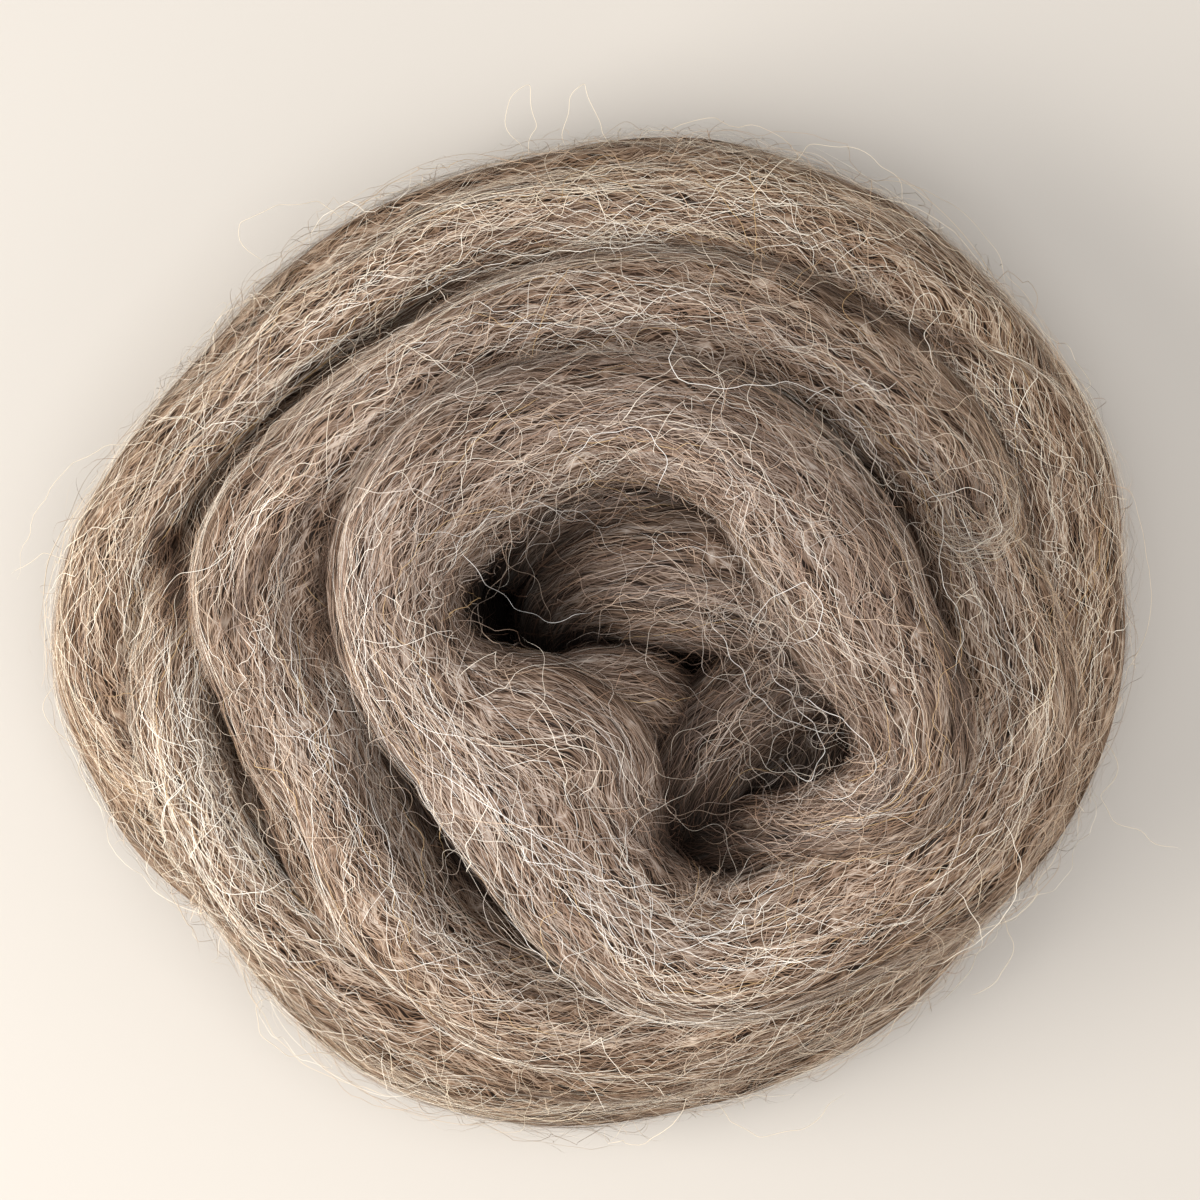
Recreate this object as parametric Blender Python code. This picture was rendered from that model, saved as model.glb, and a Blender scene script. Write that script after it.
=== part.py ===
"""Wool roving: one loose length of carded sliver, wound by hand into a round nest.

The nest is a single soft strand.  It starts in a small hook on the top, runs once round the
top as the highest loop, slides outward and down over the lower right, goes round again as the
second turn, passes below itself at the bottom, makes a third turn and the base ring, and ends
with a fold that shows on the left.  Shorter stretches of the same strand cross the middle and
close the underside.  The unseen core is dished on top, where two pits go down beside them.

Units are metres, +Z up, the nest rests on z = 0 and the origin is below its middle.
"""
import math

import bpy
import numpy as np

# ---------------------------------------------------------------- driving dimensions
MM = 0.001
VOXEL = 2.5 * MM            # finest fold the solid keeps
JOIN_VOXEL = 1.8 * MM       # step of the first joining of the stretches
SMOOTH_STEPS = 5            # softens the voxel steps
CREASE_FILL = 0.8           # mm, strands are drawn this much fuller, joined, then drawn back in
KEEP_SHARE = 0.38           # share of the faces kept by the last thinning
RING_SEGMENTS = 26          # points round the strand
STATION_STEP = 3.0          # mm between sections along the strand
RIDGES = 3                  # folds of the sliver that run along the strand
RIDGE_HEIGHT = 0.055        # height of a fold as a share of the strand's half width
TWIST_LENGTH = 260.0        # mm of strand for one full turn of the folds
SQUARENESS = 2.1            # 2 is an ellipse, more is fuller at the shoulders
MIDDLE = (0.5, -0.4, 0.0)   # mm, middle of the nest's outline in the tables' own measure
SLAB_SIZE = 260.0 * MM      # plate that trims the resting face flat
SLAB_DEPTH = 20.0 * MM
WOOL_GREY_BROWN = (0.190, 0.150, 0.118, 1.0)

# ---------------------------------------------------------------- the wound strand
# Columns: turn angle in degrees (0 is +X, growing counter-clockwise as seen from above,
# 360 more for each turn), radius of the centre line, height of the centre line, width
# across, thickness, lean of the width towards the outside in degrees.  Lengths in mm.
TURN_COLUMNS = ("angle", "radius", "height", "width", "thick", "lean")

TOP_LOOP = (
    (-68, 36.0, 22.0, 10.0, 11.0, 0),
    (-61, 36.5, 30.5, 12.0, 12.5, 0),
    (-49, 39.8, 39.0, 13.0, 13.5, 0),
    (-39, 45.2, 44.5, 14.0, 15.0, 5),
    (-30, 49.3, 48.0, 15.0, 16.5, 8),
    (-21, 49.8, 51.0, 16.0, 18.0, 10),
    (-12, 46.5, 53.5, 18.0, 20.0, 8),
    (0, 40.2, 55.0, 22.0, 22.0, 8),
    (13, 37.0, 55.5, 24.0, 22.5, 8),
    (28, 34.6, 55.5, 22.5, 22.0, 8),
    (44, 33.6, 55.5, 20.5, 21.5, 5),
    (60, 32.2, 55.3, 19.0, 21.0, 0),
    (78, 30.6, 55.0, 18.5, 21.0, 0),
    (97, 29.2, 55.0, 20.0, 21.5, 0),
    (120, 28.6, 55.0, 22.0, 22.0, 0),
    (143, 28.4, 55.0, 22.0, 22.0, 0),
    (160, 28.2, 54.5, 20.0, 21.0, 0),
    (175, 26.8, 54.0, 18.5, 20.5, 0),
    (190, 24.8, 54.0, 18.5, 20.0, 0),
    (208, 22.8, 54.0, 19.5, 20.0, 0),
)

SLIDE = (
    (228, 22.4, 53.5, 22.0, 20.0, 0),
    (247, 25.2, 52.5, 23.5, 20.5, 0),
    (262, 30.6, 51.0, 24.0, 21.0, 6),
    (273, 38.0, 49.0, 23.5, 21.0, 8),
    (283, 45.8, 46.5, 22.5, 21.0, 10),
    (293, 50.3, 45.0, 21.5, 21.0, 12),
    (304, 52.3, 44.0, 22.5, 21.0, 14),
    (315, 54.8, 43.0, 24.0, 21.5, 16),
    (328, 58.5, 42.0, 25.0, 22.0, 18),
)

SECOND_TURN = (
    (342, 60.6, 40.5, 23.5, 22.5, 20),
    (351, 61.0, 39.8, 21.8, 22.0, 18),
    (361, 58.4, 39.5, 19.8, 21.5, 14),
    (373, 56.2, 39.3, 19.6, 21.5, 10),
    (385, 55.8, 39.0, 20.2, 22.0, 8),
    (397, 53.8, 39.0, 20.2, 22.0, 6),
    (409, 51.8, 39.0, 19.8, 22.0, 4),
    (422, 49.8, 39.0, 20.0, 22.0, 2),
    (436, 47.6, 39.0, 20.4, 22.0, 0),
    (450, 45.4, 39.0, 19.8, 22.0, 0),
    (466, 43.8, 39.5, 19.2, 22.0, 0),
    (480, 42.8, 40.5, 19.2, 22.5, 0),
    (495, 43.6, 41.5, 19.2, 23.0, 0),
    (508, 44.9, 42.0, 20.0, 23.0, 0),
    (521, 46.9, 41.5, 21.6, 22.5, 0),
    (535, 47.0, 39.5, 22.2, 21.0, 0),
    (549, 44.2, 37.5, 21.2, 20.0, 0),
    (562, 42.6, 36.0, 21.6, 19.5, 0),
    (575, 43.9, 35.0, 22.4, 19.0, 0),
    (590, 47.6, 33.5, 24.2, 18.5, 4),
    (602, 51.6, 31.5, 24.6, 18.5, 8),
    (615, 55.6, 29.0, 24.6, 18.5, 10),
    (628, 57.6, 26.5, 23.6, 19.0, 8),
)

THIRD_TURN = (
    (642, 58.0, 24.5, 23.0, 19.0, 10),
    (665, 59.0, 24.0, 23.0, 19.0, 10),
    (685, 62.0, 24.5, 23.0, 19.5, 12),
    (702, 65.4, 25.0, 22.5, 20.0, 14),
    (720, 68.4, 26.0, 21.5, 20.5, 14),
    (740, 69.4, 26.5, 21.5, 21.0, 14),
    (756, 68.4, 26.5, 22.5, 21.0, 14),
    (770, 66.8, 26.5, 22.5, 21.0, 14),
    (784, 64.8, 27.0, 21.0, 21.0, 12),
    (800, 62.6, 27.5, 19.8, 21.0, 12),
    (816, 61.0, 27.5, 19.0, 21.0, 12),
    (832, 60.3, 27.0, 19.0, 21.0, 12),
    (850, 60.0, 26.0, 18.5, 20.5, 10),
    (866, 61.2, 25.0, 17.2, 20.0, 8),
    (880, 64.8, 23.5, 17.8, 21.0, 8),
    (893, 68.2, 20.5, 20.8, 22.5, 8),
)

BASE_RING = (
    (905, 68.4, 16.5, 24.8, 24.5, 6),
    (918, 63.6, 13.2, 27.0, 26.0, 0),
    (934, 57.8, 12.2, 27.0, 26.0, 0),
    (948, 59.0, 12.2, 27.2, 26.0, 0),
    (966, 62.4, 12.2, 27.8, 26.0, 0),
    (980, 62.0, 12.2, 28.0, 26.0, 0),
    (1000, 60.0, 12.2, 27.5, 26.0, 0),
    (1030, 61.0, 12.2, 27.5, 26.0, 0),
    (1055, 61.5, 12.2, 27.5, 26.0, 0),
    (1075, 64.0, 12.2, 28.0, 26.0, 0),
    (1095, 68.2, 12.2, 28.0, 26.0, 0),
    (1115, 68.0, 12.2, 28.0, 26.0, 0),
    (1133, 66.0, 12.2, 28.0, 26.0, 0),
    (1150, 63.5, 12.2, 27.5, 26.0, 0),
    (1170, 58.8, 12.2, 27.0, 26.0, 0),
    (1195, 58.0, 12.2, 27.0, 26.0, 0),
    (1220, 58.8, 12.2, 26.0, 25.0, 0),
)

LEFT_FOLD = (
    (1241, 58.5, 15.0, 22.0, 22.0, 0),
    (1251, 56.0, 22.0, 18.0, 18.0, 0),
    (1259, 58.2, 28.0, 15.0, 15.5, 4),
    (1268, 60.6, 30.5, 14.2, 15.5, 8),
    (1284, 61.0, 30.0, 14.6, 16.0, 10),
    (1298, 61.5, 28.5, 16.0, 17.0, 12),
    (1313, 61.6, 26.5, 18.5, 17.5, 12),
    (1327, 61.6, 25.0, 20.0, 18.0, 14),
    (1341, 61.5, 23.0, 20.5, 17.0, 12),
    (1358, 60.5, 21.0, 19.0, 16.0, 8),
    (1376, 58.0, 19.0, 15.0, 13.0, 0),
)

# Inner end, laid flat on the table under the rest and closing the middle of the underside.
UNDERSIDE = (
    (150, 48.0, 10.0, 22.0, 22.5, 0),
    (240, 47.5, 10.0, 22.0, 22.5, 0),
    (330, 48.0, 10.0, 22.0, 22.5, 0),
    (385, 50.0, 10.0, 22.0, 22.5, 0),
    (430, 46.5, 10.0, 21.0, 22.5, 0),
    (510, 41.0, 10.0, 20.0, 22.5, 0),
    (600, 36.0, 10.0, 20.0, 22.5, 0),
    (690, 31.5, 10.0, 20.0, 22.5, 0),
    (780, 27.0, 10.0, 20.0, 22.5, 0),
    (870, 22.5, 10.0, 20.0, 22.5, 0),
    (960, 18.0, 10.0, 20.0, 22.5, 0),
    (1050, 13.5, 10.0, 20.0, 22.5, 0),
    (1140, 9.0, 10.0, 19.0, 22.5, 0),
    (1230, 4.5, 10.0, 17.0, 22.0, 0),
    (1290, 2.5, 10.0, 15.0, 22.0, 0),
)

# Stretches laid across the middle.  Columns: x, y and height of the centre line, width
# across, thickness, lean in degrees.  Lengths in mm.
PATH_COLUMNS = ("x", "y", "height", "width", "thick", "lean")

INNER_STRAND = (
    (12.3, -33.0, 19.0, 12.0, 13.0, 0),
    (13.2, -26.5, 31.0, 15.0, 14.5, 0),
    (15.0, -20.5, 37.0, 17.0, 15.5, 0),
    (18.2, -15.4, 38.5, 17.0, 15.5, 0),
    (22.6, -11.4, 38.0, 16.0, 15.5, 0),
    (28.0, -7.0, 36.5, 16.5, 16.0, 0),
    (32.3, -1.8, 38.0, 17.0, 16.5, 0),
    (30.0, 2.8, 40.5, 18.0, 17.0, 0),
    (25.0, 5.2, 42.0, 20.0, 17.5, 0),
    (17.0, 7.6, 42.5, 21.5, 17.5, 0),
    (8.5, 8.0, 41.5, 20.5, 17.5, 0),
    (1.2, 6.4, 36.5, 17.0, 16.0, 0),
    (-4.0, 2.6, 28.5, 13.5, 14.0, 0),
    (-6.4, -3.0, 20.5, 11.5, 12.0, 0),
)

MIDDLE_LIP = (
    (-26.0, 0.5, 51.0, 12.0, 13.0, 0),
    (-21.5, -5.5, 53.5, 15.5, 16.5, 0),
    (-13.8, -10.7, 54.5, 18.0, 17.5, 0),
    (-5.2, -13.0, 54.5, 18.5, 17.5, 0),
    (0.6, -17.2, 53.0, 17.5, 17.5, 0),
    (2.6, -24.0, 51.0, 16.0, 17.0, 0),
    (5.0, -31.0, 49.0, 14.0, 16.0, 0),
    (10.5, -39.0, 45.0, 12.0, 14.0, 0),
)

# Part of the lip's wool that runs straight on and dives beside the inner strand.
LIP_TAIL = (
    (-8.0, -10.0, 48.5, 11.0, 11.0, 0),
    (-1.0, -8.8, 49.5, 13.0, 13.0, 0),
    (5.0, -8.6, 47.5, 13.0, 12.5, 0),
    (9.5, -9.6, 42.0, 12.0, 12.0, 0),
    (12.5, -11.5, 34.0, 10.0, 11.0, 0),
)

CORE_TURN = (
    (0, 29.0, 34.0, 21.0, 22.0, 0),
    (90, 27.5, 36.0, 20.0, 22.0, 0),
    (180, 25.5, 35.0, 19.0, 22.0, 0),
    (225, 25.0, 32.0, 18.0, 22.0, 0),
    (245, 29.0, 30.0, 18.5, 22.0, 0),
    (270, 37.0, 25.0, 21.0, 20.0, 0),
    (298, 42.5, 22.0, 20.0, 20.0, 0),
    (330, 37.5, 27.0, 21.0, 21.0, 0),
    (360, 29.0, 34.0, 21.0, 22.0, 0),
)

# Section of the unseen core from its foot to the floor of the two pits.  Lengths in mm.
CORE_COLUMNS = ("radius", "height")
CORE_PROFILE = (
    (4.0, 5.0),
    (32.0, 5.0),
    (44.0, 8.0),
    (49.0, 16.0),
    (47.0, 25.0),
    (40.0, 29.0),
    (28.0, 29.0),
    (22.0, 25.5),
    (18.5, 21.5),
    (4.0, 20.8),
)


def polar_to_xyz(rows):
    """Turn rows of angle and radius into rows of x, y and the other columns."""
    table = np.array(rows, dtype=float)
    angle = np.radians(table[:, 0])
    x = table[:, 1] * np.cos(angle)
    y = table[:, 1] * np.sin(angle)
    return np.column_stack((x, y, table[:, 2:]))


def fill_polar(rows, step_degrees=6.0):
    """Draw a smooth line through polar rows and give it back as evenly spaced rows."""
    table = np.array(rows, dtype=float)
    inner = table[:, 0]
    count = int((inner[-1] - inner[0]) / step_degrees) + 2
    wanted = np.linspace(inner[0], inner[-1], count)
    return np.column_stack([wanted] + [smooth_column(inner, table[:, c], wanted)
                                       for c in range(1, table.shape[1])])


def smooth_column(known, values, wanted):
    """Cubic Hermite curve through the values, with the slopes of a parabola at each row."""
    gap = np.diff(known)
    slope = np.diff(values) / gap
    tangent = np.empty_like(values)
    tangent[1:-1] = (slope[:-1] * gap[1:] + slope[1:] * gap[:-1]) / (gap[:-1] + gap[1:])
    tangent[0] = slope[0]
    tangent[-1] = slope[-1]
    cell = np.clip(np.searchsorted(known, wanted, side="right") - 1, 0, len(gap) - 1)
    width = gap[cell]
    t = (wanted - known[cell]) / width
    start = (2 * t ** 3 - 3 * t ** 2 + 1) * values[cell]
    start = start + (t ** 3 - 2 * t ** 2 + t) * width * tangent[cell]
    end = (3 * t ** 2 - 2 * t ** 3) * values[cell + 1]
    return start + end + (t ** 3 - t ** 2) * width * tangent[cell + 1]


def even_stations(rows, step):
    """Place sections at equal steps along the line through rows of x, y, height and sizes."""
    table = np.asarray(rows, dtype=float)
    chord = np.linalg.norm(np.diff(table[:, :3], axis=0), axis=1)
    along = np.concatenate(([0.0], np.cumsum(chord)))
    count = max(8, int(along[-1] / step) + 1)
    wanted = np.linspace(0.0, along[-1], count)
    return wanted, np.column_stack([smooth_column(along, table[:, c], wanted)
                                    for c in range(table.shape[1])])


def section_frames(centres, lean):
    """Direction, width direction and thickness direction at each section."""
    forward = np.gradient(centres, axis=0)
    forward /= np.linalg.norm(forward, axis=1)[:, None]
    up = np.tile((0.0, 0.0, 1.0), (len(centres), 1))
    side = np.cross(forward, up)
    side /= np.linalg.norm(side, axis=1)[:, None]
    normal = np.cross(side, forward)
    tilt = np.radians(-lean)[:, None]
    return side * np.cos(tilt) + normal * np.sin(tilt), normal * np.cos(tilt) - side * np.sin(tilt)


def strand_points(rows, phase, closed):
    """Grid of points on the strand: one row of points for each section."""
    along, stations = even_stations(rows, STATION_STEP)
    centres = stations[:, :3]
    side, normal = section_frames(centres, stations[:, 5])
    around = np.linspace(0.0, 2.0 * math.pi, RING_SEGMENTS, endpoint=False)[None, :]
    power = 2.0 / SQUARENESS
    flat = np.sign(np.cos(around)) * np.abs(np.cos(around)) ** power
    tall = np.sign(np.sin(around)) * np.abs(np.sin(around)) ** power
    turned = around * RIDGES - 2.0 * math.pi * RIDGES * along[:, None] / TWIST_LENGTH + phase
    ridge = 1.0 + RIDGE_HEIGHT * np.cos(turned)
    end_share = np.ones(len(along))
    if not closed:
        reach = 9.0
        nearest = np.minimum(along, along[-1] - along) / reach
        end_share = np.sqrt(np.clip(1.0 - (1.0 - np.clip(nearest, 0.0, 1.0)) ** 2, 0.01, 1.0))
    half_width = (0.5 * stations[:, 3] * end_share + CREASE_FILL)[:, None, None]
    half_thick = (0.5 * stations[:, 4] * end_share + CREASE_FILL)[:, None, None]
    offset = side[:, None, :] * half_width * (flat * ridge)[:, :, None]
    offset = offset + normal[:, None, :] * half_thick * (tall * ridge)[:, :, None]
    return centres[:, None, :] + offset


def strand_faces(sections, around, first, closed):
    """Quads between neighbouring sections and a cap on each end, outward facing."""
    faces = []
    last = sections if closed else sections - 1
    for s in range(last):
        here = first + s * around
        there = first + ((s + 1) % sections) * around
        for a in range(around):
            b = (a + 1) % around
            faces.append((here + a, here + b, there + b, there + a))
    if not closed:
        faces.append(tuple(first + a for a in reversed(range(around))))
        end = first + (sections - 1) * around
        faces.append(tuple(end + a for a in range(around)))
    return faces


def core_points():
    """The unseen middle: CORE_PROFILE carried once round the nest's upright axis."""
    around = np.linspace(0.0, 2.0 * math.pi, RING_SEGMENTS, endpoint=False)
    profile = np.array(CORE_PROFILE)
    x = profile[:, :1] * np.cos(around)[None, :]
    y = profile[:, :1] * np.sin(around)[None, :]
    z = np.repeat(profile[:, 1:], RING_SEGMENTS, axis=1)
    return np.stack((x, y, z), axis=2)


def wool_material():
    """Natural grey-brown wool: rough, no shine of its own."""
    material = bpy.data.materials.new("natural_grey_wool")
    material.use_nodes = True
    shader = material.node_tree.nodes["Principled BSDF"]
    shader.inputs["Base Color"].default_value = WOOL_GREY_BROWN
    shader.inputs["Roughness"].default_value = 0.95
    material.diffuse_color = WOOL_GREY_BROWN
    return material


def link_mesh(name, points, faces):
    """Make one mesh object from metre points and faces."""
    mesh = bpy.data.meshes.new(name)
    mesh.from_pydata([tuple(p) for p in points], [], faces)
    mesh.validate()
    mesh.update()
    thing = bpy.data.objects.new(name, mesh)
    bpy.context.scene.collection.objects.link(thing)
    return thing


def build_roving():
    """Gather every stretch of the strand, grow them into one solid and flatten the foot."""
    wound = TOP_LOOP + SLIDE + SECOND_TURN + THIRD_TURN + BASE_RING + LEFT_FOLD
    stretches = (
        (polar_to_xyz(fill_polar(wound)), 0.4, False),
        (polar_to_xyz(fill_polar(UNDERSIDE)), 1.1, False),
        (np.array(INNER_STRAND, dtype=float), 2.0, False),
        (np.array(MIDDLE_LIP, dtype=float), 0.0, False),
        (np.array(LIP_TAIL, dtype=float), 0.8, False),
        (polar_to_xyz(fill_polar(CORE_TURN)), 0.0, False),
    )
    points = []
    faces = []
    first = 0
    for rows, phase, closed in stretches:
        grid = strand_points(rows, phase, closed)
        faces += strand_faces(grid.shape[0], grid.shape[1], first, closed)
        points.append(grid.reshape(-1, 3))
        first += grid.shape[0] * grid.shape[1]
    core = core_points()
    faces += strand_faces(core.shape[0], core.shape[1], first, False)
    points.append(core.reshape(-1, 3))
    roving = link_mesh("roving", (np.concatenate(points) - MIDDLE) * MM, faces)
    roving.data.materials.append(wool_material())

    grow = roving.modifiers.new("one_body", "REMESH")
    grow.mode = "VOXEL"
    grow.voxel_size = JOIN_VOXEL
    grow.adaptivity = 0.0
    draw_in = roving.modifiers.new("draw_back_in", "DISPLACE")
    draw_in.mid_level = 0.0
    draw_in.strength = -CREASE_FILL * MM
    even_out = roving.modifiers.new("even_out", "REMESH")
    even_out.mode = "VOXEL"
    even_out.voxel_size = VOXEL
    even_out.adaptivity = 0.0
    soften = roving.modifiers.new("soften", "SMOOTH")
    soften.factor = 0.5
    soften.iterations = SMOOTH_STEPS
    thin = roving.modifiers.new("thin", "DECIMATE")
    thin.ratio = KEEP_SHARE
    trim = roving.modifiers.new("flat_foot", "BOOLEAN")
    trim.operation = "DIFFERENCE"
    trim.solver = "EXACT"
    trim.object = table_slab()
    return roving


def table_slab():
    """The plate under the nest that leaves a flat resting face at z = 0."""
    half = 0.5 * SLAB_SIZE
    corners = [(x, y, z) for z in (-SLAB_DEPTH, 0.0) for x, y in
               ((-half, -half), (half, -half), (half, half), (-half, half))]
    faces = [(3, 2, 1, 0), (4, 5, 6, 7), (0, 1, 5, 4), (1, 2, 6, 5), (2, 3, 7, 6), (3, 0, 4, 7)]
    slab = link_mesh("resting_plane_cutter", corners, faces)
    slab.hide_render = True
    slab.display_type = "WIRE"
    return slab


for old in list(bpy.data.objects):
    bpy.data.objects.remove(old, do_unlink=True)
build_roving()
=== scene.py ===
"""Dress the wool roving nest: the wound strand's surfaces, its coat of fibres and its stray curls.

One loose length of natural grey-brown roving is wound by hand into a round nest.  The strand is a
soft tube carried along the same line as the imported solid.  Thousands of fibres lie on it in
coats: a dense ground coat along the strand, a crimped coat over it, pale curls on top, and strays
that cross the creases or stand out round the edge.

Lengths in the tables are millimetres, everything else is metres, +Z is up.
"""
import logging
import math
from dataclasses import dataclass, field
from enum import Enum

import bpy
import numpy as np
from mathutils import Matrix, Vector


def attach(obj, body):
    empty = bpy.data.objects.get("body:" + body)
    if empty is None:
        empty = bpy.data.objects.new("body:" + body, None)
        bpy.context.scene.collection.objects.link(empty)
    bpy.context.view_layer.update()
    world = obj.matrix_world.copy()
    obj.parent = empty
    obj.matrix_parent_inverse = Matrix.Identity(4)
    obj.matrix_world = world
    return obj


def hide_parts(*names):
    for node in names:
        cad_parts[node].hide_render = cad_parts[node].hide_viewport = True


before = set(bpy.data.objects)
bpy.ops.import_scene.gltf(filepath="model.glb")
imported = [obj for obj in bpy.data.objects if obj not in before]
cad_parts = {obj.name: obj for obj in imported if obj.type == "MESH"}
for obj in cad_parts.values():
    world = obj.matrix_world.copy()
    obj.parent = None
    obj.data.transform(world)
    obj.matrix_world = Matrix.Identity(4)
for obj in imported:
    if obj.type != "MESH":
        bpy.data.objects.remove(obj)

LOG = logging.getLogger("wool_roving")
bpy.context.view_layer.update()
MM = 0.001
BODY = "root"
CAD_NODE = "roving"
MIDDLE = np.array((0.5, -0.4, 0.0))     # mm, middle of the outline in the tables' own measure
SQUARENESS = 2.1                        # 2 is an ellipse, more is fuller at the shoulders
RIDGES = 3                              # folds of the sliver that run along the strand
RIDGE_HEIGHT = 0.055                    # height of a fold as a share of the half width
TWIST_LENGTH = 260.0                    # mm of strand for one full turn of the folds
STATION_STEP = 1.0                      # mm between stations of a strand's line
LOCK_MM = 5.2                           # mm of one crimp wave that the fibres of a lock share
WISPS = 22                              # waves that make up the low relief of a strand
WISP_HEIGHT = 1.15                      # mm, to be divided by a wave's number plus two
CREASE_FADE = 14.0                      # degrees of turn in which a crease runs out at its ends
SAME_TURN = 40.0                        # mm of its own strand, either way, that never hides a place
EDGE_RADIUS = 62.0                      # mm from the middle to where the nest's edge begins
BRIM_DEPTH = 20.0                       # mm below the brim where wool gets its full painted shade
SKIN_SINK = 0.25                        # mm by which the strand's surface lies under the fibres
MAP_RADIUS = 11.0                       # mm, mean radius of the strand, for the scale of its map
LIGHTEST = 0.93                         # tone of the palest wool
GOLDEN = 1.0                            # tone of the few golden tips

# ------------------------------------------------------------------ the wound strand
# Columns: turn angle in degrees (0 is +X, growing counter-clockwise as seen from above, 360 more
# for each turn), radius of the centre line, height of the centre line, width across, thickness,
# lean of the width towards the outside in degrees.
TOP_LOOP = (
    (-68, 36, 22, 10, 11, 0),
    (-61, 36.5, 30.5, 12, 12.5, 0),
    (-49, 39.8, 39, 13, 13.5, 0),
    (-39, 45.2, 44.5, 14, 15, 5),
    (-30, 49.3, 48, 15, 16.5, 8),
    (-21, 49.8, 51, 16, 18, 10),
    (-12, 46.5, 53.5, 18, 20, 8),
    (0, 40.2, 55, 22, 22, 8),
    (13, 37, 55.5, 24, 22.5, 8),
    (28, 34.6, 55.5, 22.5, 22, 8),
    (44, 33.6, 55.5, 20.5, 21.5, 5),
    (60, 32.2, 55.3, 19, 21, 0),
    (78, 30.6, 55, 18.5, 21, 0),
    (97, 29.2, 55, 20, 21.5, 0),
    (120, 28.6, 55, 22, 22, 0),
    (143, 28.4, 55, 22, 22, 0),
    (160, 28.2, 54.5, 20, 21, 0),
    (175, 26.8, 54, 18.5, 20.5, 0),
    (190, 24.8, 54, 18.5, 20, 0),
    (208, 22.8, 54, 19.5, 20, 0),
)
SLIDE = (
    (228, 22.4, 53.5, 22, 20, 0),
    (247, 25.2, 52.5, 23.5, 20.5, 0),
    (262, 30.6, 51, 24, 21, 6),
    (273, 38, 49, 23.5, 21, 8),
    (283, 45.8, 46.5, 22.5, 21, 10),
    (293, 50.3, 45, 21.5, 21, 12),
    (304, 52.3, 44, 22.5, 21, 14),
    (315, 54.8, 43, 24, 21.5, 16),
    (328, 58.5, 42, 25, 22, 18),
)
SECOND_TURN = (
    (342, 60.6, 40.5, 23.5, 22.5, 20),
    (351, 61, 39.8, 21.8, 22, 18),
    (361, 58.4, 39.5, 19.8, 21.5, 14),
    (373, 56.2, 39.3, 19.6, 21.5, 10),
    (385, 55.8, 39, 20.2, 22, 8),
    (397, 53.8, 39, 20.2, 22, 6),
    (409, 51.8, 39, 19.8, 22, 4),
    (422, 49.8, 39, 20, 22, 2),
    (436, 47.6, 39, 20.4, 22, 0),
    (450, 45.4, 39, 19.8, 22, 0),
    (466, 43.8, 39.5, 19.2, 22, 0),
    (480, 42.8, 40.5, 19.2, 22.5, 0),
    (495, 43.6, 41.5, 19.2, 23, 0),
    (508, 44.9, 42, 20, 23, 0),
    (521, 46.9, 41.5, 21.6, 22.5, 0),
    (535, 47, 39.5, 22.2, 21, 0),
    (549, 44.2, 37.5, 21.2, 20, 0),
    (562, 42.6, 36, 21.6, 19.5, 0),
    (575, 43.9, 35, 22.4, 19, 0),
    (590, 47.6, 33.5, 24.2, 18.5, 4),
    (602, 51.6, 31.5, 24.6, 18.5, 8),
    (615, 55.6, 29, 24.6, 18.5, 10),
    (628, 57.6, 26.5, 23.6, 19, 8),
)
THIRD_TURN = (
    (642, 58, 24.5, 23, 19, 10),
    (665, 59, 24, 23, 19, 10),
    (685, 62, 24.5, 23, 19.5, 12),
    (702, 65.4, 25, 22.5, 20, 14),
    (720, 68.4, 26, 21.5, 20.5, 14),
    (740, 69.4, 26.5, 21.5, 21, 14),
    (756, 68.4, 26.5, 22.5, 21, 14),
    (770, 66.8, 26.5, 22.5, 21, 14),
    (784, 64.8, 27, 21, 21, 12),
    (800, 62.6, 27.5, 19.8, 21, 12),
    (816, 61, 27.5, 19, 21, 12),
    (832, 60.3, 27, 19, 21, 12),
    (850, 60, 26, 18.5, 20.5, 10),
    (866, 61.2, 25, 17.2, 20, 8),
    (880, 64.8, 23.5, 17.8, 21, 8),
    (893, 68.2, 20.5, 20.8, 22.5, 8),
)
BASE_RING = (
    (905, 68.4, 16.5, 24.8, 24.5, 6),
    (918, 63.6, 13.2, 27, 26, 0),
    (934, 57.8, 12.2, 27, 26, 0),
    (948, 59, 12.2, 27.2, 26, 0),
    (966, 62.4, 12.2, 27.8, 26, 0),
    (980, 62, 12.2, 28, 26, 0),
    (1000, 60, 12.2, 27.5, 26, 0),
    (1030, 61, 12.2, 27.5, 26, 0),
    (1055, 61.5, 12.2, 27.5, 26, 0),
    (1075, 64, 12.2, 28, 26, 0),
    (1095, 68.2, 12.2, 28, 26, 0),
    (1115, 68, 12.2, 28, 26, 0),
    (1133, 66, 12.2, 28, 26, 0),
    (1150, 63.5, 12.2, 27.5, 26, 0),
    (1170, 58.8, 12.2, 27, 26, 0),
    (1195, 58, 12.2, 27, 26, 0),
    (1220, 58.8, 12.2, 26, 25, 0),
)
LEFT_FOLD = (
    (1241, 58.5, 15, 22, 22, 0),
    (1251, 56, 22, 18, 18, 0),
    (1259, 58.2, 28, 15, 15.5, 4),
    (1268, 60.6, 30.5, 14.2, 15.5, 8),
    (1284, 61, 30, 14.6, 16, 10),
    (1298, 61.5, 28.5, 16, 17, 12),
    (1313, 61.6, 26.5, 18.5, 17.5, 12),
    (1327, 61.6, 25, 20, 18, 14),
    (1341, 61.5, 23, 20.5, 17, 12),
    (1358, 60.5, 21, 19, 16, 8),
    (1376, 58, 19, 15, 13, 0),
)
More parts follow.
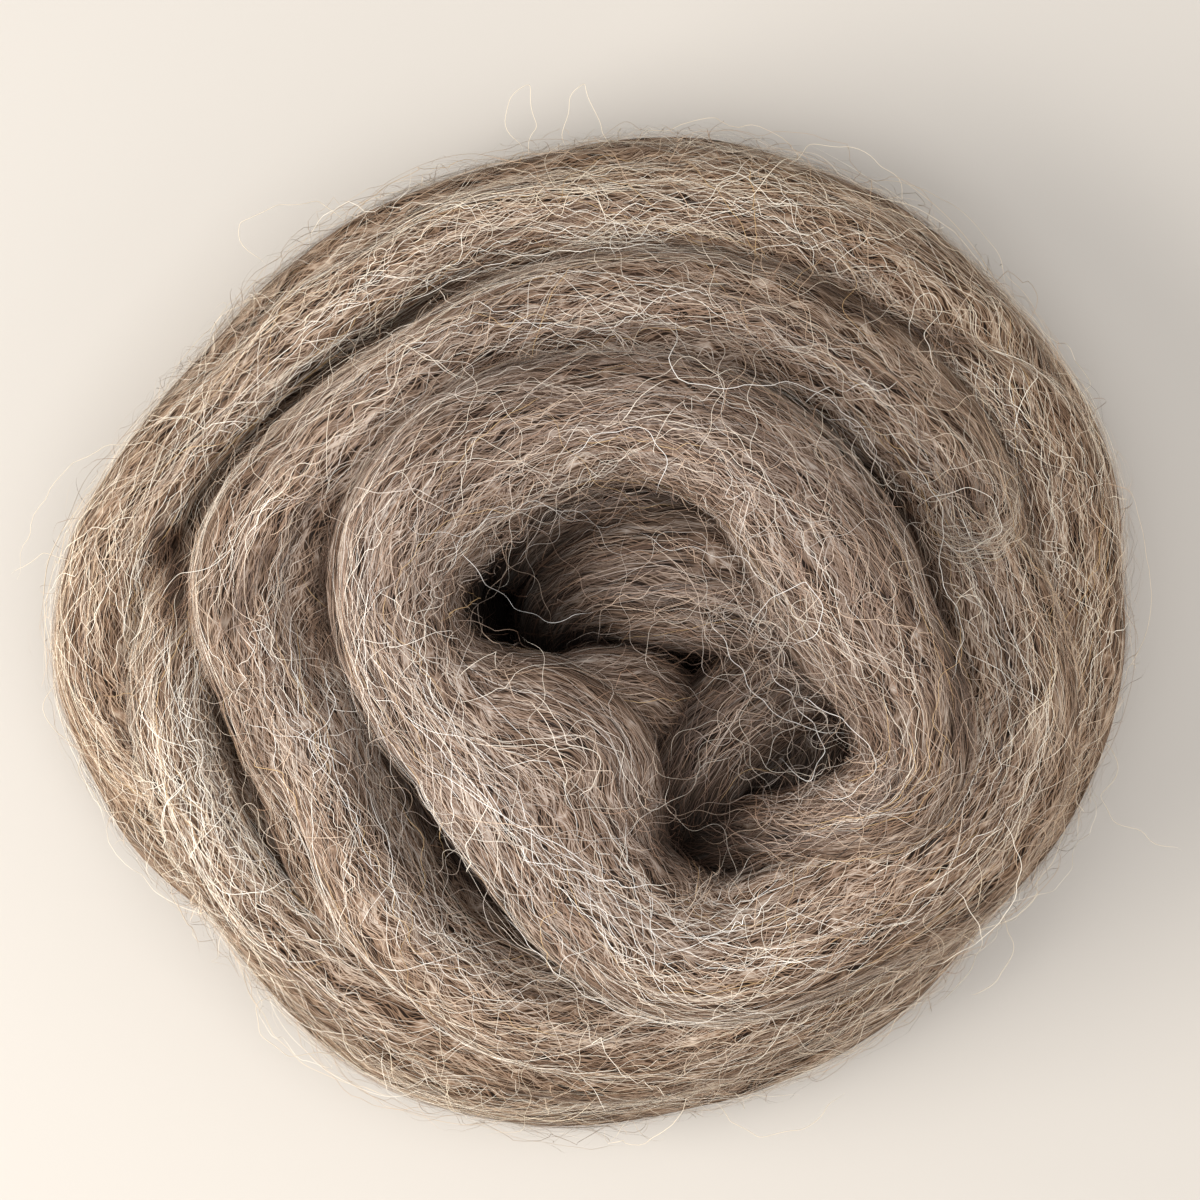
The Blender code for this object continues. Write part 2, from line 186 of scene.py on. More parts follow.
UNDERSIDE = (
    (150, 48, 10, 22, 22.5, 0),
    (240, 47.5, 10, 22, 22.5, 0),
    (330, 48, 10, 22, 22.5, 0),
    (385, 50, 10, 22, 22.5, 0),
    (430, 46.5, 10, 21, 22.5, 0),
    (510, 41, 10, 20, 22.5, 0),
    *((600 + 90 * turns, 36 - 4.5 * turns, 10, 20, 22.5, 0) for turns in range(6)),
    (1140, 9, 10, 19, 22.5, 0),
    (1230, 4.5, 10, 17, 22, 0),
    (1290, 2.5, 10, 15, 22, 0),
)
CORE_TURN = (
    (0, 29, 34, 21, 22, 0),
    (90, 27.5, 36, 20, 22, 0),
    (180, 25.5, 35, 19, 22, 0),
    (225, 25, 32, 18, 22, 0),
    (245, 29, 30, 18.5, 22, 0),
    (270, 37, 25, 21, 20, 0),
    (298, 42.5, 22, 20, 20, 0),
    (330, 37.5, 27, 21, 21, 0),
    (360, 29, 34, 21, 22, 0),
)
# Columns: x, y and height of the centre line, width across, thickness, lean in degrees.
INNER_STRAND = (
    (12.3, -33, 19, 12, 13, 0),
    (13.2, -26.5, 31, 15, 14.5, 0),
    (15, -20.5, 37, 17, 15.5, 0),
    (18.2, -15.4, 38.5, 17, 15.5, 0),
    (22.6, -11.4, 38, 16, 15.5, 0),
    (28, -7, 36.5, 16.5, 16, 0),
    (32.3, -1.8, 38, 17, 16.5, 0),
    (30, 2.8, 40.5, 18, 17, 0),
    (25, 5.2, 42, 20, 17.5, 0),
    (17, 7.6, 42.5, 21.5, 17.5, 0),
    (8.5, 8, 41.5, 20.5, 17.5, 0),
    (1.2, 6.4, 36.5, 17, 16, 0),
    (-4, 2.6, 28.5, 13.5, 14, 0),
    (-6.4, -3, 20.5, 11.5, 12, 0),
)
MIDDLE_LIP = (
    (-26, 0.5, 51, 12, 13, 0),
    (-21.5, -5.5, 53.5, 15.5, 16.5, 0),
    (-13.8, -10.7, 54.5, 18, 17.5, 0),
    (-5.2, -13, 54.5, 18.5, 17.5, 0),
    (0.6, -17.2, 53, 17.5, 17.5, 0),
    (2.6, -24, 51, 16, 17, 0),
    (5, -31, 49, 14, 16, 0),
    (10.5, -39, 45, 12, 14, 0),
)
# Part of the lip's wool that runs straight on and dives beside the inner strand.
LIP_TAIL = (
    (-8, -10, 48.5, 11, 11, 0),
    (-1, -8.8, 49.5, 13, 13, 0),
    (5, -8.6, 47.5, 13, 12.5, 0),
    (9.5, -9.6, 42, 12, 12, 0),
    (12.5, -11.5, 34, 10, 11, 0),
)
# Loose wool that fills the upper part of the gap between the inner strand and the top loop.
GAP_WOOL = (
    (-12, 8, 27, 7, 10, 0),
    (-8.6, 12.6, 33.5, 9, 12, 0),
    (-3.6, 16.6, 38, 10, 13, 0),
    (3, 19, 40.5, 10, 13, 0),
    (10, 19.6, 41, 9, 12, 0),
    (16, 18, 40, 7, 10, 0),
)
# Long creases that run along the wound strand, some of them slantwise.  Columns: turn angle at the
# start and at the end, place around the strand in degrees at the start and at the end (0 outside,
# 90 on top, 180 inside), depth, width in degrees.
CREASES = (
    (500, 560, 112, 124, 2.6, 16),
    (505, 600, 62, 62, 1.2, 14),
    (560, 640, 36, 48, 2.6, 16),
    (560, 650, 128, 128, 2, 14),
    (545, 640, 168, 168, 2.6, 26),
    (352, 470, 172, 168, 2.2, 24),
    (420, 560, 10, 6, 1.6, 26),
    (380, 450, 66, 66, 1.6, 14),
    (395, 470, 112, 112, 1.2, 12),
    (366, 384, 10, 120, 2.4, 15),
    (345, 400, 112, 112, 1.2, 12),
    (742, 773, 10, 170, 3.6, 17),
    (765, 900, 160, 165, 2.2, 26),
    (780, 850, 78, 66, 2, 16),
    (790, 880, 48, 48, 1.6, 14),
    (830, 890, 100, 84, 1.6, 12),
    (640, 760, 160, 160, 1.6, 22),
    (884, 965, 110, 106, 2.6, 14),
    (852, 894, 165, 168, 3.6, 30),
    (510, 550, -10, -8, 3, 22),
    (1262, 1340, 168, 168, 2.4, 26),
    (1275, 1360, 58, 58, 1.4, 12),
    (205, 290, 8, 8, 2.2, 24),
    (240, 300, 62, 62, 0.8, 12),
    (255, 330, 104, 104, 1, 12),
    (300, 350, 66, 66, 1.2, 12),
    (-24, 60, 6, 6, 1.8, 22),
    (20, 110, 62, 62, 0.6, 12),
    (60, 180, 112, 112, 0.6, 12),
    (-30, 20, 98, 98, 1, 12),
)
# Painted shade and light along the wound strand: darker where the turns lie deep in the middle, paler on the
# outer turns where more light falls.  1 is painted down to dark brown, 0 the usual grey-brown, and less than
# 0 painted lighter.  Columns: turn angle in degrees, share.
PAINTED_SHADE_BY_TURN = (
    (-68, 0.54), (-30, 0.30), (0, 0.24), (40, 0.24), (120, 0.24), (170, 0.14), (210, 0), (250, -0.16),
    (290, -0.26), (330, -0.06), (380, -0.02), (450, 0.02), (520, 0), (560, -0.06), (640, -0.12),
    (700, -0.16), (760, -0.28), (800, -0.34), (880, -0.34), (950, -0.36), (1100, -0.32), (1200, -0.36),
    (1250, -0.68), (1376, -0.70),
)
# Painted shade: places where the wool drops away between two strands and little light comes back,
# darkened in the wool's colour.  Columns: x and y at one end, x and y at the other, radius, share
# of the light that is painted away in the middle, or, if less than 0, share of painted light
# given back in a gap.
PAINTED_SHADE_HOLLOWS = (
    (12.6, -29.8, 14.5, -28, 5.6, 0.86),
    (14.5, -28, 19.5, -25, 4, 0.45),
    (-62, 13.5, -60, 3.4, 3, 0.92),
    (53.6, 21.8, 55.4, 19.2, 2.6, 0.55),
    (46.5, 16.5, 49, 11, 2.4, 0.35),
    (-68.9, -7, -67.6, -17, 2.8, 0.38),
    (33.8, 49.2, 54.3, 41.6, 2.6, 0.50),
    (14.5, -8, 11.5, -27, 2.6, 0.50),
    (-14.5, 14.5, 2, 19.5, 3.6, -0.50),
    (48.8, 8.3, 51.9, -5.4, 2.2, 0.45),
    (51.9, -5.4, 51.8, -15, 2.2, 0.40),
    (-37.6, 17.8, -38.8, 7.2, 2.4, 0.45),
    (-38.8, 7.2, -37.6, -2.6, 2.4, 0.40),
    (-46.5, 11.3, -51.3, 1.3, 2.2, 0.45),
    (-53.6, -8.4, -50, -24, 2.4, 0.40),
)
# Single long curls that catch the light.  Columns: x, y, height above the wool, one row a point.
NAMED_CURLS = (
    ((-27, 47, 0.8), (-12, 53.5, 1), (3, 55, 1.2), (12, 56, 0.6)),
    ((3.5, 53, 0.8), (3.2, 57, 1.6), (8, 61, 2.2), (16, 62.5, 2), (20, 66, 1.6), (24, 69.5, 1)),
    ((12.5, 46, 0.6), (12, 41, 1.4), (11, 37, 2), (15, 34.5, 2), (21, 34.3, 2.6), (30, 34.8, 2.6),
     (36, 31, 2.4), (40, 26, 1.8), (39, 22, 1)),
    ((46, 42, 0.8), (46, 46, 2.2), (49, 49, 3), (51, 47.5, 2.6), (48, 43, 2), (50, 37, 1)),
    ((-3.5, 24, 0.6), (1, 27.5, 1.2), (8, 28, 1.8), (10.5, 23.5, 2), (9, 19.5, 1.2)),
    ((51, -35, 0.8), (55, -41, 2.5), (57, -47, 3), (54, -55, 1.5), (51.5, -55.5, 1)),
    ((46, 18, 0.6), (50, 20, 2), (56, 20, 2.6), (58, 15, 2.4), (53, 12, 1.6), (48, 14, 0.8)),
    ((-38, -4, 0.8), (-36, -10, 1.8), (-40, -16, 2.2), (-36, -22, 1.6), (-34, -27, 0.8)),
    ((-63, 5, 1), (-58, 9, 1.6), (-55, 9, 2), (-50, 13, 1.2)),
    ((-12, -39, 0.6), (-6, -46, 1.2), (2, -52, 1.4), (12, -54.5, 1.2), (22, -53, 0.8)),
    ((28, -2, 0.6), (32, 2, 1.4), (30, 7, 1.8), (25, 5, 1.4), (22, 0, 0.6)),
    ((40, 32, 0.6), (46, 24, 1.8), (50, 17, 2.2), (49, 8, 2), (52, 2, 1.2), (50, -6, 0.8)),
    ((28.4, -8.3, 0.6), (35.5, -12.1, 0.8), (39.8, -17.8, 0.8), (37, -22.1, 1), (32, -23.5, 0.6)),
    ((24.4, -3.8, 0.4), (29, -9.5, 0.8), (33.2, -16.5, 1.2), (31, -20.5, 1.4), (27, -17.8, 0.8)),
    ((16.5, 3.2, 0.6), (21, -4.4, 1), (24.8, -9.8, 1.2), (30.5, -13.2, 1), (36.2, -14, 0.6)),
    ((-18, 12.2, 0.5), (-14.6, 7.5, 1.2), (-10.4, 3.8, 1.5), (-5.5, 1.9, 1.2), (0.4, 3.4, 0.5)),
    ((58, -25, 0.6), (61, -33, 2.5), (59, -40, 3.6), (52, -46, 2.4), (47, -48, 1)),
)
# Long hairs that stand off the nest's edge.  Columns: x, y, height, one row a point.
FLYAWAYS = (
    ((-10, 71, 27), (-12.5, 77, 30), (-9.5, 80.5, 32), (-8.2, 76, 30), (-9.5, 70, 26)),
    ((-4, 71, 26), (-3.5, 76.5, 29), (-1.5, 80.8, 31), (1.5, 75, 28), (4, 70, 25)),
    ((-52, 21, 30), (-66, 28, 33), (-75, 25.5, 32), (-82, 17, 29), (-85, 8, 27)),
    ((-68, 15, 25), (-76, 11, 28), (-81, 11.5, 28), (-86, 8.5, 26)),
    ((74, -14, 25), (78, -19, 28), (75.5, -25, 29), (82, -30, 28), (88, -32.5, 26)),
    ((60, -40, 24), (62.5, -46, 27), (59.5, -52.5, 25), (56.5, -54, 22)),
    ((-48, 54, 26), (-52, 60, 29), (-47, 62.5, 30), (-40, 63.5, 28), (-36, 61, 25)),
    ((-71, -2, 20), (-79, -6, 24), (-81, -12, 25), (-77, -17, 22), (-72, -20, 18)),
    ((66, 40, 24), (72, 37, 28), (74, 31, 29), (77, 25, 27), (73, 19, 23)),
    ((28, 68, 24), (33, 72, 28), (40, 71, 29), (46, 66, 27), (47, 60, 24)),
    ((-44, -52, 18), (-50, -57, 22), (-47, -62, 23), (-40, -63, 21), (-34, -62, 17)),
    ((18, -70, 16), (24, -75, 20), (32, -74, 21), (38, -69, 18)),
)


def smooth_column(known: np.ndarray, values: np.ndarray, wanted: np.ndarray) -> np.ndarray:
    """Draw a cubic Hermite curve through values, with the slopes of a parabola at each row.

    Args:
        known: Rising places of the rows.
        values: Value at each row.
        wanted: Places to read the curve at.

    Returns:
        The curve's value at each wanted place.
    """
    gap = np.diff(known)
    slope = np.diff(values) / gap
    tangent = np.empty_like(values)
    tangent[1:-1] = (slope[:-1] * gap[1:] + slope[1:] * gap[:-1]) / (gap[:-1] + gap[1:])
    tangent[0] = slope[0]
    tangent[-1] = slope[-1]
    cell = np.clip(np.searchsorted(known, wanted, side="right") - 1, 0, len(gap) - 1)
    width = gap[cell]
    t = (wanted - known[cell]) / width
    start = (2 * t ** 3 - 3 * t ** 2 + 1) * values[cell]
    start = start + (t ** 3 - 2 * t ** 2 + t) * width * tangent[cell]
    end = (3 * t ** 2 - 2 * t ** 3) * values[cell + 1]
    return start + end + (t ** 3 - t ** 2) * width * tangent[cell + 1]


def distances(points: np.ndarray) -> np.ndarray:
    """Distance of each point from the first one, along the straight lines that join them."""
    return np.concatenate(([0.0], np.cumsum(np.linalg.norm(np.diff(points, axis=0), axis=1))))


def through_rows(rows: tuple[tuple[float, ...], ...], rings: int,
                 measured: int) -> tuple[np.ndarray, list[np.ndarray]]:
    """Draw a smooth curve through a table's rows and read it at even places.

    Args:
        rows: Three numbers a row.
        rings: How many places to read.
        measured: How many of the columns count for the distance between two rows.

    Returns:
        The places in mm, and the three columns at them.
    """
    table = np.array(rows, dtype=float)
    place = distances(table[:, :measured])
    wanted = np.linspace(0.0, place[-1], rings)
    return wanted, [smooth_column(place, table[:, c], wanted) for c in range(3)]


def unit(vectors: np.ndarray) -> np.ndarray:
    """Scale vectors along the last axis to length one."""
    return vectors / np.maximum(np.linalg.norm(vectors, axis=-1, keepdims=True), 1e-12)


def to_linear(hex_colour: str) -> tuple[float, float, float, float]:
    """Turn an sRGB hex colour into linear light, by that colour space's own curve.

    Args:
        hex_colour: Such as "#8a7a6c".

    Returns:
        Linear red, green, blue and alpha.
    """
    parts = [int(hex_colour[i:i + 2], 16) / 255.0 for i in (1, 3, 5)]
    linear = [p / 12.92 if p <= 0.04045 else ((p + 0.055) / 1.055) ** 2.4 for p in parts]
    return (linear[0], linear[1], linear[2], 1.0)


# ------------------------------------------------------------------ lines and surfaces
@dataclass
class Strand:
    """One stretch of the soft strand: a line with a width, a thickness and a lean at each station.

    The section is a squarish ellipse, r(a) = (half_width * cos(a)^p, half_thick * sin(a)^p) with
    p = 2 / SQUARENESS, and three low folds turn slowly round it along the strand.  Each end closes
    over tuck mm, share thins the fibres that lie on it, and the last share is the shade painted into
    its wool's colour, for how deep it lies in the nest.
    """

    name: str
    rows: tuple[tuple[float, ...], ...]
    polar: bool = True
    phase: float = 0.0
    seed: int = 1
    tuck: float = 9.0
    share: float = 1.0
    # Share of shade painted into this stretch's wool for how deep it lies.
    painted_shade_level: float = 0.2
    along: np.ndarray = field(init=False)
    centre: np.ndarray = field(init=False)
    forward: np.ndarray = field(init=False)
    side: np.ndarray = field(init=False)
    normal: np.ndarray = field(init=False)
    half_width: np.ndarray = field(init=False)
    half_thick: np.ndarray = field(init=False)
    turn: np.ndarray = field(init=False)
    waves: np.ndarray = field(init=False)

    def __post_init__(self) -> None:
        """Place the stations one STATION_STEP apart and find the directions at each."""
        table = np.array(self.rows, dtype=float)
        turn = np.zeros(len(table))
        if self.polar:
            turn = np.linspace(table[0, 0], table[-1, 0], int((table[-1, 0] - table[0, 0]) / 3) + 2)
            columns = [smooth_column(table[:, 0], table[:, c], turn) for c in range(1, 6)]
            angle = np.radians(turn)
            xy = [columns[0] * np.cos(angle), columns[0] * np.sin(angle)]
            table = np.column_stack(xy + columns[1:])
        place = distances(table[:, :3])
        self.along = np.linspace(0.0, place[-1], max(8, int(place[-1] / STATION_STEP) + 1))
        line = np.column_stack([smooth_column(place, table[:, c], self.along) for c in range(6)])
        self.turn = np.interp(self.along, place, turn)
        self.centre = line[:, :3] - MIDDLE
        self.forward = unit(np.gradient(self.centre, axis=0))
        flat_side = unit(np.cross(self.forward, np.array((0.0, 0.0, 1.0))))
        upright = np.cross(flat_side, self.forward)
        tilt = np.radians(-line[:, 5])[:, None]
        self.side = flat_side * np.cos(tilt) + upright * np.sin(tilt)
        self.normal = upright * np.cos(tilt) - flat_side * np.sin(tilt)
        near = np.minimum(self.along, self.along[-1] - self.along) / self.tuck
        close = np.sqrt(np.clip(1.0 - (1.0 - np.clip(near, 0.0, 1.0)) ** 2, 0.01, 1.0))
        self.half_width = 0.5 * line[:, 3] * close
        self.half_thick = 0.5 * line[:, 4] * close
        rng = np.random.default_rng(self.seed)
        self.waves = np.column_stack((
            rng.integers(2, 17, WISPS),                           # waves round the strand
            rng.uniform(-1.0, 1.0, WISPS) * math.tau / 60.0,      # drift along it
            rng.uniform(0.0, math.tau, WISPS),
            rng.uniform(25.0, 90.0, WISPS),                       # length of its swelling in mm
            rng.uniform(0.0, math.tau, WISPS),
        ))

    @property
    def length(self) -> float:
        """Length of the stretch in mm."""
        return float(self.along[-1])

    def read(self, column: np.ndarray, s: np.ndarray) -> np.ndarray:
        """Read a station column by straight lines between the stations.

        Args:
            column: One value or one direction for each station.
            s: Places along the strand in mm.

        Returns:
            The column's value at each place.
        """
        step = self.along[1]
        place = np.clip(s / step, 0.0, len(self.along) - 1.001)
        cell = place.astype(int)
        part = place - cell
        if column.ndim > 1:
            part = part[..., None]
        return column[cell] * (1.0 - part) + column[cell + 1] * part

    def relief(self, s: np.ndarray, around: np.ndarray) -> np.ndarray:
        """Height of wisps and creases: waves round the strand that swell and drift along it.

        A crease takes away a bell of the distance from its line, exp(-(gap / width)^2).

        Args:
            s: Place along the strand in mm.
            around: Angle round the section.

        Returns:
            The height above the plain surface in mm.
        """
        height = np.zeros(np.broadcast(s, around).shape)
        for number, drift, start, swell, phase in self.waves:
            bend = 0.9 * np.sin(math.tau * s / swell + phase)
            wave = np.sin(number * around + drift * s + start + bend)
            swelling = 0.6 + 0.4 * np.sin(math.tau * s / (swell * 1.7) - phase)
            height = height + WISP_HEIGHT / (2.0 + number) * wave * swelling
        if self.name == "wound":
            turn = self.read(self.turn, s)
            for first, last, start, end, depth, width in CREASES:
                fade = min(CREASE_FADE, (last - first) / 3.0)
                run = np.clip((turn - first) / fade, 0, 1) * np.clip((last - turn) / fade, 0, 1)
                place = start + (end - start) * np.clip((turn - first) / (last - first), 0, 1)
                gap = (np.degrees(around) - place + 180.0) % 360.0 - 180.0
                height = height - depth * run * np.exp(-(gap / width) ** 2)
        return height

    def surface(self, s: np.ndarray, around: np.ndarray, lift: np.ndarray) -> tuple[np.ndarray, np.ndarray]:
        """Point and outward direction on the strand, lifted off it by lift mm.

        Args:
            s: Place along the strand in mm.
            around: Angle round the section, 0 outside, half pi on top.
            lift: Height above the surface in mm.

        Returns:
            Points in mm and unit outward directions, each with a last axis of three.
        """
        centre = self.read(self.centre, s)
        side = self.read(self.side, s)
        normal = self.read(self.normal, s)
        wide = self.read(self.half_width, s)
        thick = self.read(self.half_thick, s)
        power = 2.0 / SQUARENESS
        across = np.sign(np.cos(around)) * np.abs(np.cos(around)) ** power
        upward = np.sign(np.sin(around)) * np.abs(np.sin(around)) ** power
        turned = RIDGES * around - math.tau * RIDGES * s / TWIST_LENGTH + self.phase
        fold = 1.0 + RIDGE_HEIGHT * np.cos(turned)
        out = unit(side * (across / wide)[..., None] + normal * (upward / thick)[..., None])
        slack = np.clip(np.minimum(wide, thick) / 6.0, 0.15, 1.0)     # thin ends have lower relief
        point = centre + side * (wide * across * fold)[..., None]
        point = point + normal * (thick * upward * fold)[..., None]
        point = point + out * (lift + self.relief(s, around) * slack)[..., None]
        floor = 0.05 + 0.25 * np.clip(lift, 0.0, 1.0)
        point[..., 2] = np.maximum(point[..., 2], floor)
        return point, out

    def lock_phase(self, s: np.ndarray, around: np.ndarray) -> np.ndarray:
        """Phase of the crimp that neighbours share: 2 pi s / LOCK_MM, bent by slow waves in s and a."""
        bend = 1.6 * np.sin(s / 11.0 + 3.0 * around + self.phase) + 1.9 * np.sin(5.0 * around - s / 23.0)
        return math.tau * s / LOCK_MM + bend + 1.2 * np.sin(s / 37.0 + 9.0 * around)

    def painted_shade_along(self, s: np.ndarray) -> np.ndarray:
        """Share of shade painted into the wool's colour, from the table of painted shade by turn; below 0 it
        is painted light.

        Args:
            s: Places along the strand in mm.

        Returns:
            The share at each place.
        """
        if self.name != "wound":
            return np.full(np.shape(s), self.painted_shade_level)
        table = np.array(PAINTED_SHADE_BY_TURN, dtype=float)
        return np.interp(self.read(self.turn, s), table[:, 0], table[:, 1])

    def girth(self, s: np.ndarray) -> np.ndarray:
        """Mean radius of the section in mm."""
        return 0.5 * (self.read(self.half_width, s) + self.read(self.half_thick, s))


@dataclass
class Nest:
    """All stretches of the strand, with a test of which places lie inside another turn."""

    strands: list[Strand]

    def hidden(self, points: np.ndarray, owner: int, place: np.ndarray, margin: float) -> np.ndarray:
        """Tell which points lie inside a turn other than their own.

        A point is inside a section when |u|^p + |v|^p is less than one, u and v being its places
        across and up as shares of the half width and half thickness.

        Args:
            points: Points in mm, one row each.
            owner: Index of the strand that the points lie on.
            place: Place of each point along its own strand in mm.
            margin: Share by which the sections are drawn in before the test.

        Returns:
            One True or False for each point.
        """
        inside = np.zeros(len(points), dtype=bool)
        pick = slice(0, None, 2)              # every other station is enough for the test
        batch = 1500                          # points at a time, so that the arrays stay small
        for index, strand in enumerate(self.strands):
            for first in range(0, len(points), batch):
                part = slice(first, first + batch)
                away = points[part, None, :] - strand.centre[pick][None, :, :]
                ahead = np.abs(np.einsum("ijk,jk->ij", away, strand.forward[pick])) < 1.3 * STATION_STEP
                u = np.einsum("ijk,jk->ij", away, strand.side[pick]) / (strand.half_width[pick] * margin)
                v = np.einsum("ijk,jk->ij", away, strand.normal[pick]) / (strand.half_thick[pick] * margin)
                hit = ahead & (np.abs(u) ** SQUARENESS + np.abs(v) ** SQUARENESS < 1.0)
                if index == owner:
                    hit &= np.abs(place[part, None] - strand.along[pick][None, :]) > SAME_TURN
                inside[part] |= hit.any(axis=1)
        return inside


@dataclass
class HeightField:
    """Height of the nest as seen from above, on a grid of one-millimetre cells.

    The grid is 2 * half cells wide, and span is the radius in mm of the disc that finds the brim.
    """

    half: int = 96
    span: int = 12
    cells: np.ndarray = field(init=False)
    brim: np.ndarray = field(init=False)

    def __post_init__(self) -> None:
        """Start with a bare floor."""
        self.cells = np.zeros((2 * self.half, 2 * self.half))
        self.brim = self.cells

    def cover(self, strands: list[Strand]) -> None:
        """Raise the cells to the upper surface of each strand, then lay a slack cover over creases.

        For the brim each cell takes the highest one within span mm, and then the lowest of those.

        Args:
            strands: The stretches that count.
        """
        for strand in strands:
            s = np.arange(0.0, strand.length, 0.7)[:, None]
            around = np.radians(np.arange(-20.0, 200.0, 4.0))[None, :]
            s, around = np.broadcast_arrays(s, around)
            point = strand.surface(s, around, np.zeros(s.shape))[0].reshape(-1, 3)
            cell = np.clip((point[:, :2] + self.half).astype(int), 0, 2 * self.half - 1)
            np.maximum.at(self.cells, (cell[:, 1], cell[:, 0]), point[:, 2])
        reach = range(-self.span, self.span + 1)
        disc = [(i, j) for i in reach for j in reach if i * i + j * j <= self.span * self.span]
        spread = self.cells.copy()
        for shift in disc:
            np.maximum(spread, np.roll(self.cells, shift, (0, 1)), out=spread)
        self.brim = spread.copy()
        for shift in disc:
            np.minimum(self.brim, np.roll(spread, shift, (0, 1)), out=self.brim)
        near = [(i, j) for i in (-1, 0, 1) for j in (-1, 0, 1)]
        for blend in (np.max, np.max, np.mean, np.mean, np.mean):
            self.cells = blend([np.roll(self.cells, shift, (0, 1)) for shift in near], axis=0)

    def painted_shade_share(self, points: np.ndarray, outs: np.ndarray) -> np.ndarray:
        """Share from 0 to 1 of painted shade, by how far each point lies down in a crease or hollow.

        The brim is what is left when a disc too wide for the creases is rolled over the nest.  A
        point gets the full painted shade when it lies BRIM_DEPTH below the brim.  In the painted shade
        hollows the light that is left falls further, by a bell of the distance from the hollow's line,
        and where a hollow's share is below 0 painted light is given back.

        Args:
            points: Points in mm, with a last axis of three.
            outs: Outward directions there.

        Returns:
            The share for each point, less on what faces down.
        """
        x, y = points[..., 0], points[..., 1]
        below = self.at(x, y, self.brim) - points[..., 2] - 1.0
        open_light = 1.0 - np.clip(below / BRIM_DEPTH, 0.0, 1.0)
        # Painted shade along each hollow's line; a share below 0 paints light back.
        for x0, y0, x1, y1, radius, share in PAINTED_SHADE_HOLLOWS:
            step_x, step_y = x1 - x0, y1 - y0
            along = (x - x0) * step_x + (y - y0) * step_y
            along = np.clip(along / (step_x * step_x + step_y * step_y), 0.0, 1.0)
            away = np.hypot(x - x0 - along * step_x, y - y0 - along * step_y) / radius
            bell = abs(share) * np.exp(-away * away)
            open_light = open_light * (1.0 - bell) if share > 0 else open_light + (1.0 - open_light) * bell
        return (1.0 - open_light) * np.clip(outs[..., 2] * 2.0 + 1.2, 0.0, 1.0)

    def at(self, x: np.ndarray, y: np.ndarray, layer: np.ndarray | None = None) -> np.ndarray:
        """Read the height between the cells, each of the four round a place by its nearness.

        Args:
            x: Places in mm.
            y: Places in mm.
            layer: A layer to read in place of the cover, or None.

        Returns:
            The height at each place in mm.
        """
        cells = self.cells if layer is None else layer
        px = np.clip(x + self.half - 0.5, 0, 2 * self.half - 1.01)
        py = np.clip(y + self.half - 0.5, 0, 2 * self.half - 1.01)
        ix, iy = px.astype(int), py.astype(int)
        fx, fy = px - ix, py - iy
        low = cells[iy, ix] * (1 - fx) + cells[iy, ix + 1] * fx
        high = cells[iy + 1, ix] * (1 - fx) + cells[iy + 1, ix + 1] * fx
        return low * (1 - fy) + high * fy


# ------------------------------------------------------------------ finishes
def add_node(tree: bpy.types.NodeTree, kind: str, settings: dict[str | int, object] | None = None,
             links: dict[str | int, bpy.types.NodeSocket] | None = None) -> bpy.types.Node:
    """Add one node, set its properties or unlinked sockets, and link its inputs.

    Args:
        tree: The material's node tree.
        kind: Blender's name for the node type.
        settings: Property or input name to value.
        links: Input name to the output socket that feeds it.

    Returns:
        The new node.
    """
    node = tree.nodes.new(kind)
    for name, value in (settings or {}).items():
        if isinstance(name, str) and hasattr(node, name):
            setattr(node, name, value)
        else:
            node.inputs[name].default_value = value
    for name, socket in (links or {}).items():
        tree.links.new(socket, node.inputs[name])
    return node


def new_material(name: str) -> tuple[bpy.types.Material, bpy.types.NodeTree, bpy.types.Node]:
    """Start a material that has one main shader.

    Args:
        name: What the finish is called.

    Returns:
        The material, its node tree and its main shader.
    """
    material = bpy.data.materials.new(name)
    material.use_nodes = True
    return material, material.node_tree, material.node_tree.nodes["Principled BSDF"]


def fill_ramp(ramp: bpy.types.Node, stops: tuple[tuple[float, str], ...]) -> None:
    """Give a Color Ramp node its stops.

    Args:
        ramp: The node.
        stops: For each stop its place from 0 to 1 and its sRGB hex colour.
    """
    elements = ramp.color_ramp.elements
    while len(elements) < len(stops):
        elements.new(0.5)
    for element, (place, colour) in zip(elements, stops):
        element.position = place
        element.color = to_linear(colour)


def painted_warm_bounce(tree: bpy.types.NodeTree, colour: bpy.types.NodeSocket) -> bpy.types.NodeSocket:
    """Paint warm light bounced up from a wooden table onto the outer wool: none within 36 mm of the middle,
    all of it past 74 mm.

    Args:
        tree: The material's node tree.
        colour: The wool's colour before the painted bounce light.

    Returns:
        The tinted colour.
    """
    place = add_node(tree, "ShaderNodeTexCoord")
    level = add_node(tree, "ShaderNodeVectorMath", {"operation": "MULTIPLY", 1: (1.0, 1.0, 0.0)},
                     {0: place.outputs["Object"]})
    away = add_node(tree, "ShaderNodeVectorMath", {"operation": "LENGTH"}, {0: level.outputs["Vector"]})
    share = add_node(tree, "ShaderNodeMapRange", {"From Min": 0.036, "From Max": 0.074},
                     {"Value": away.outputs["Value"]})
    tint = add_node(tree, "ShaderNodeMix",
                    {"data_type": "RGBA", "blend_type": "MULTIPLY", 7: to_linear("#fff8ea")},
                    {0: share.outputs["Result"], 6: colour})
    return tint.outputs[2]


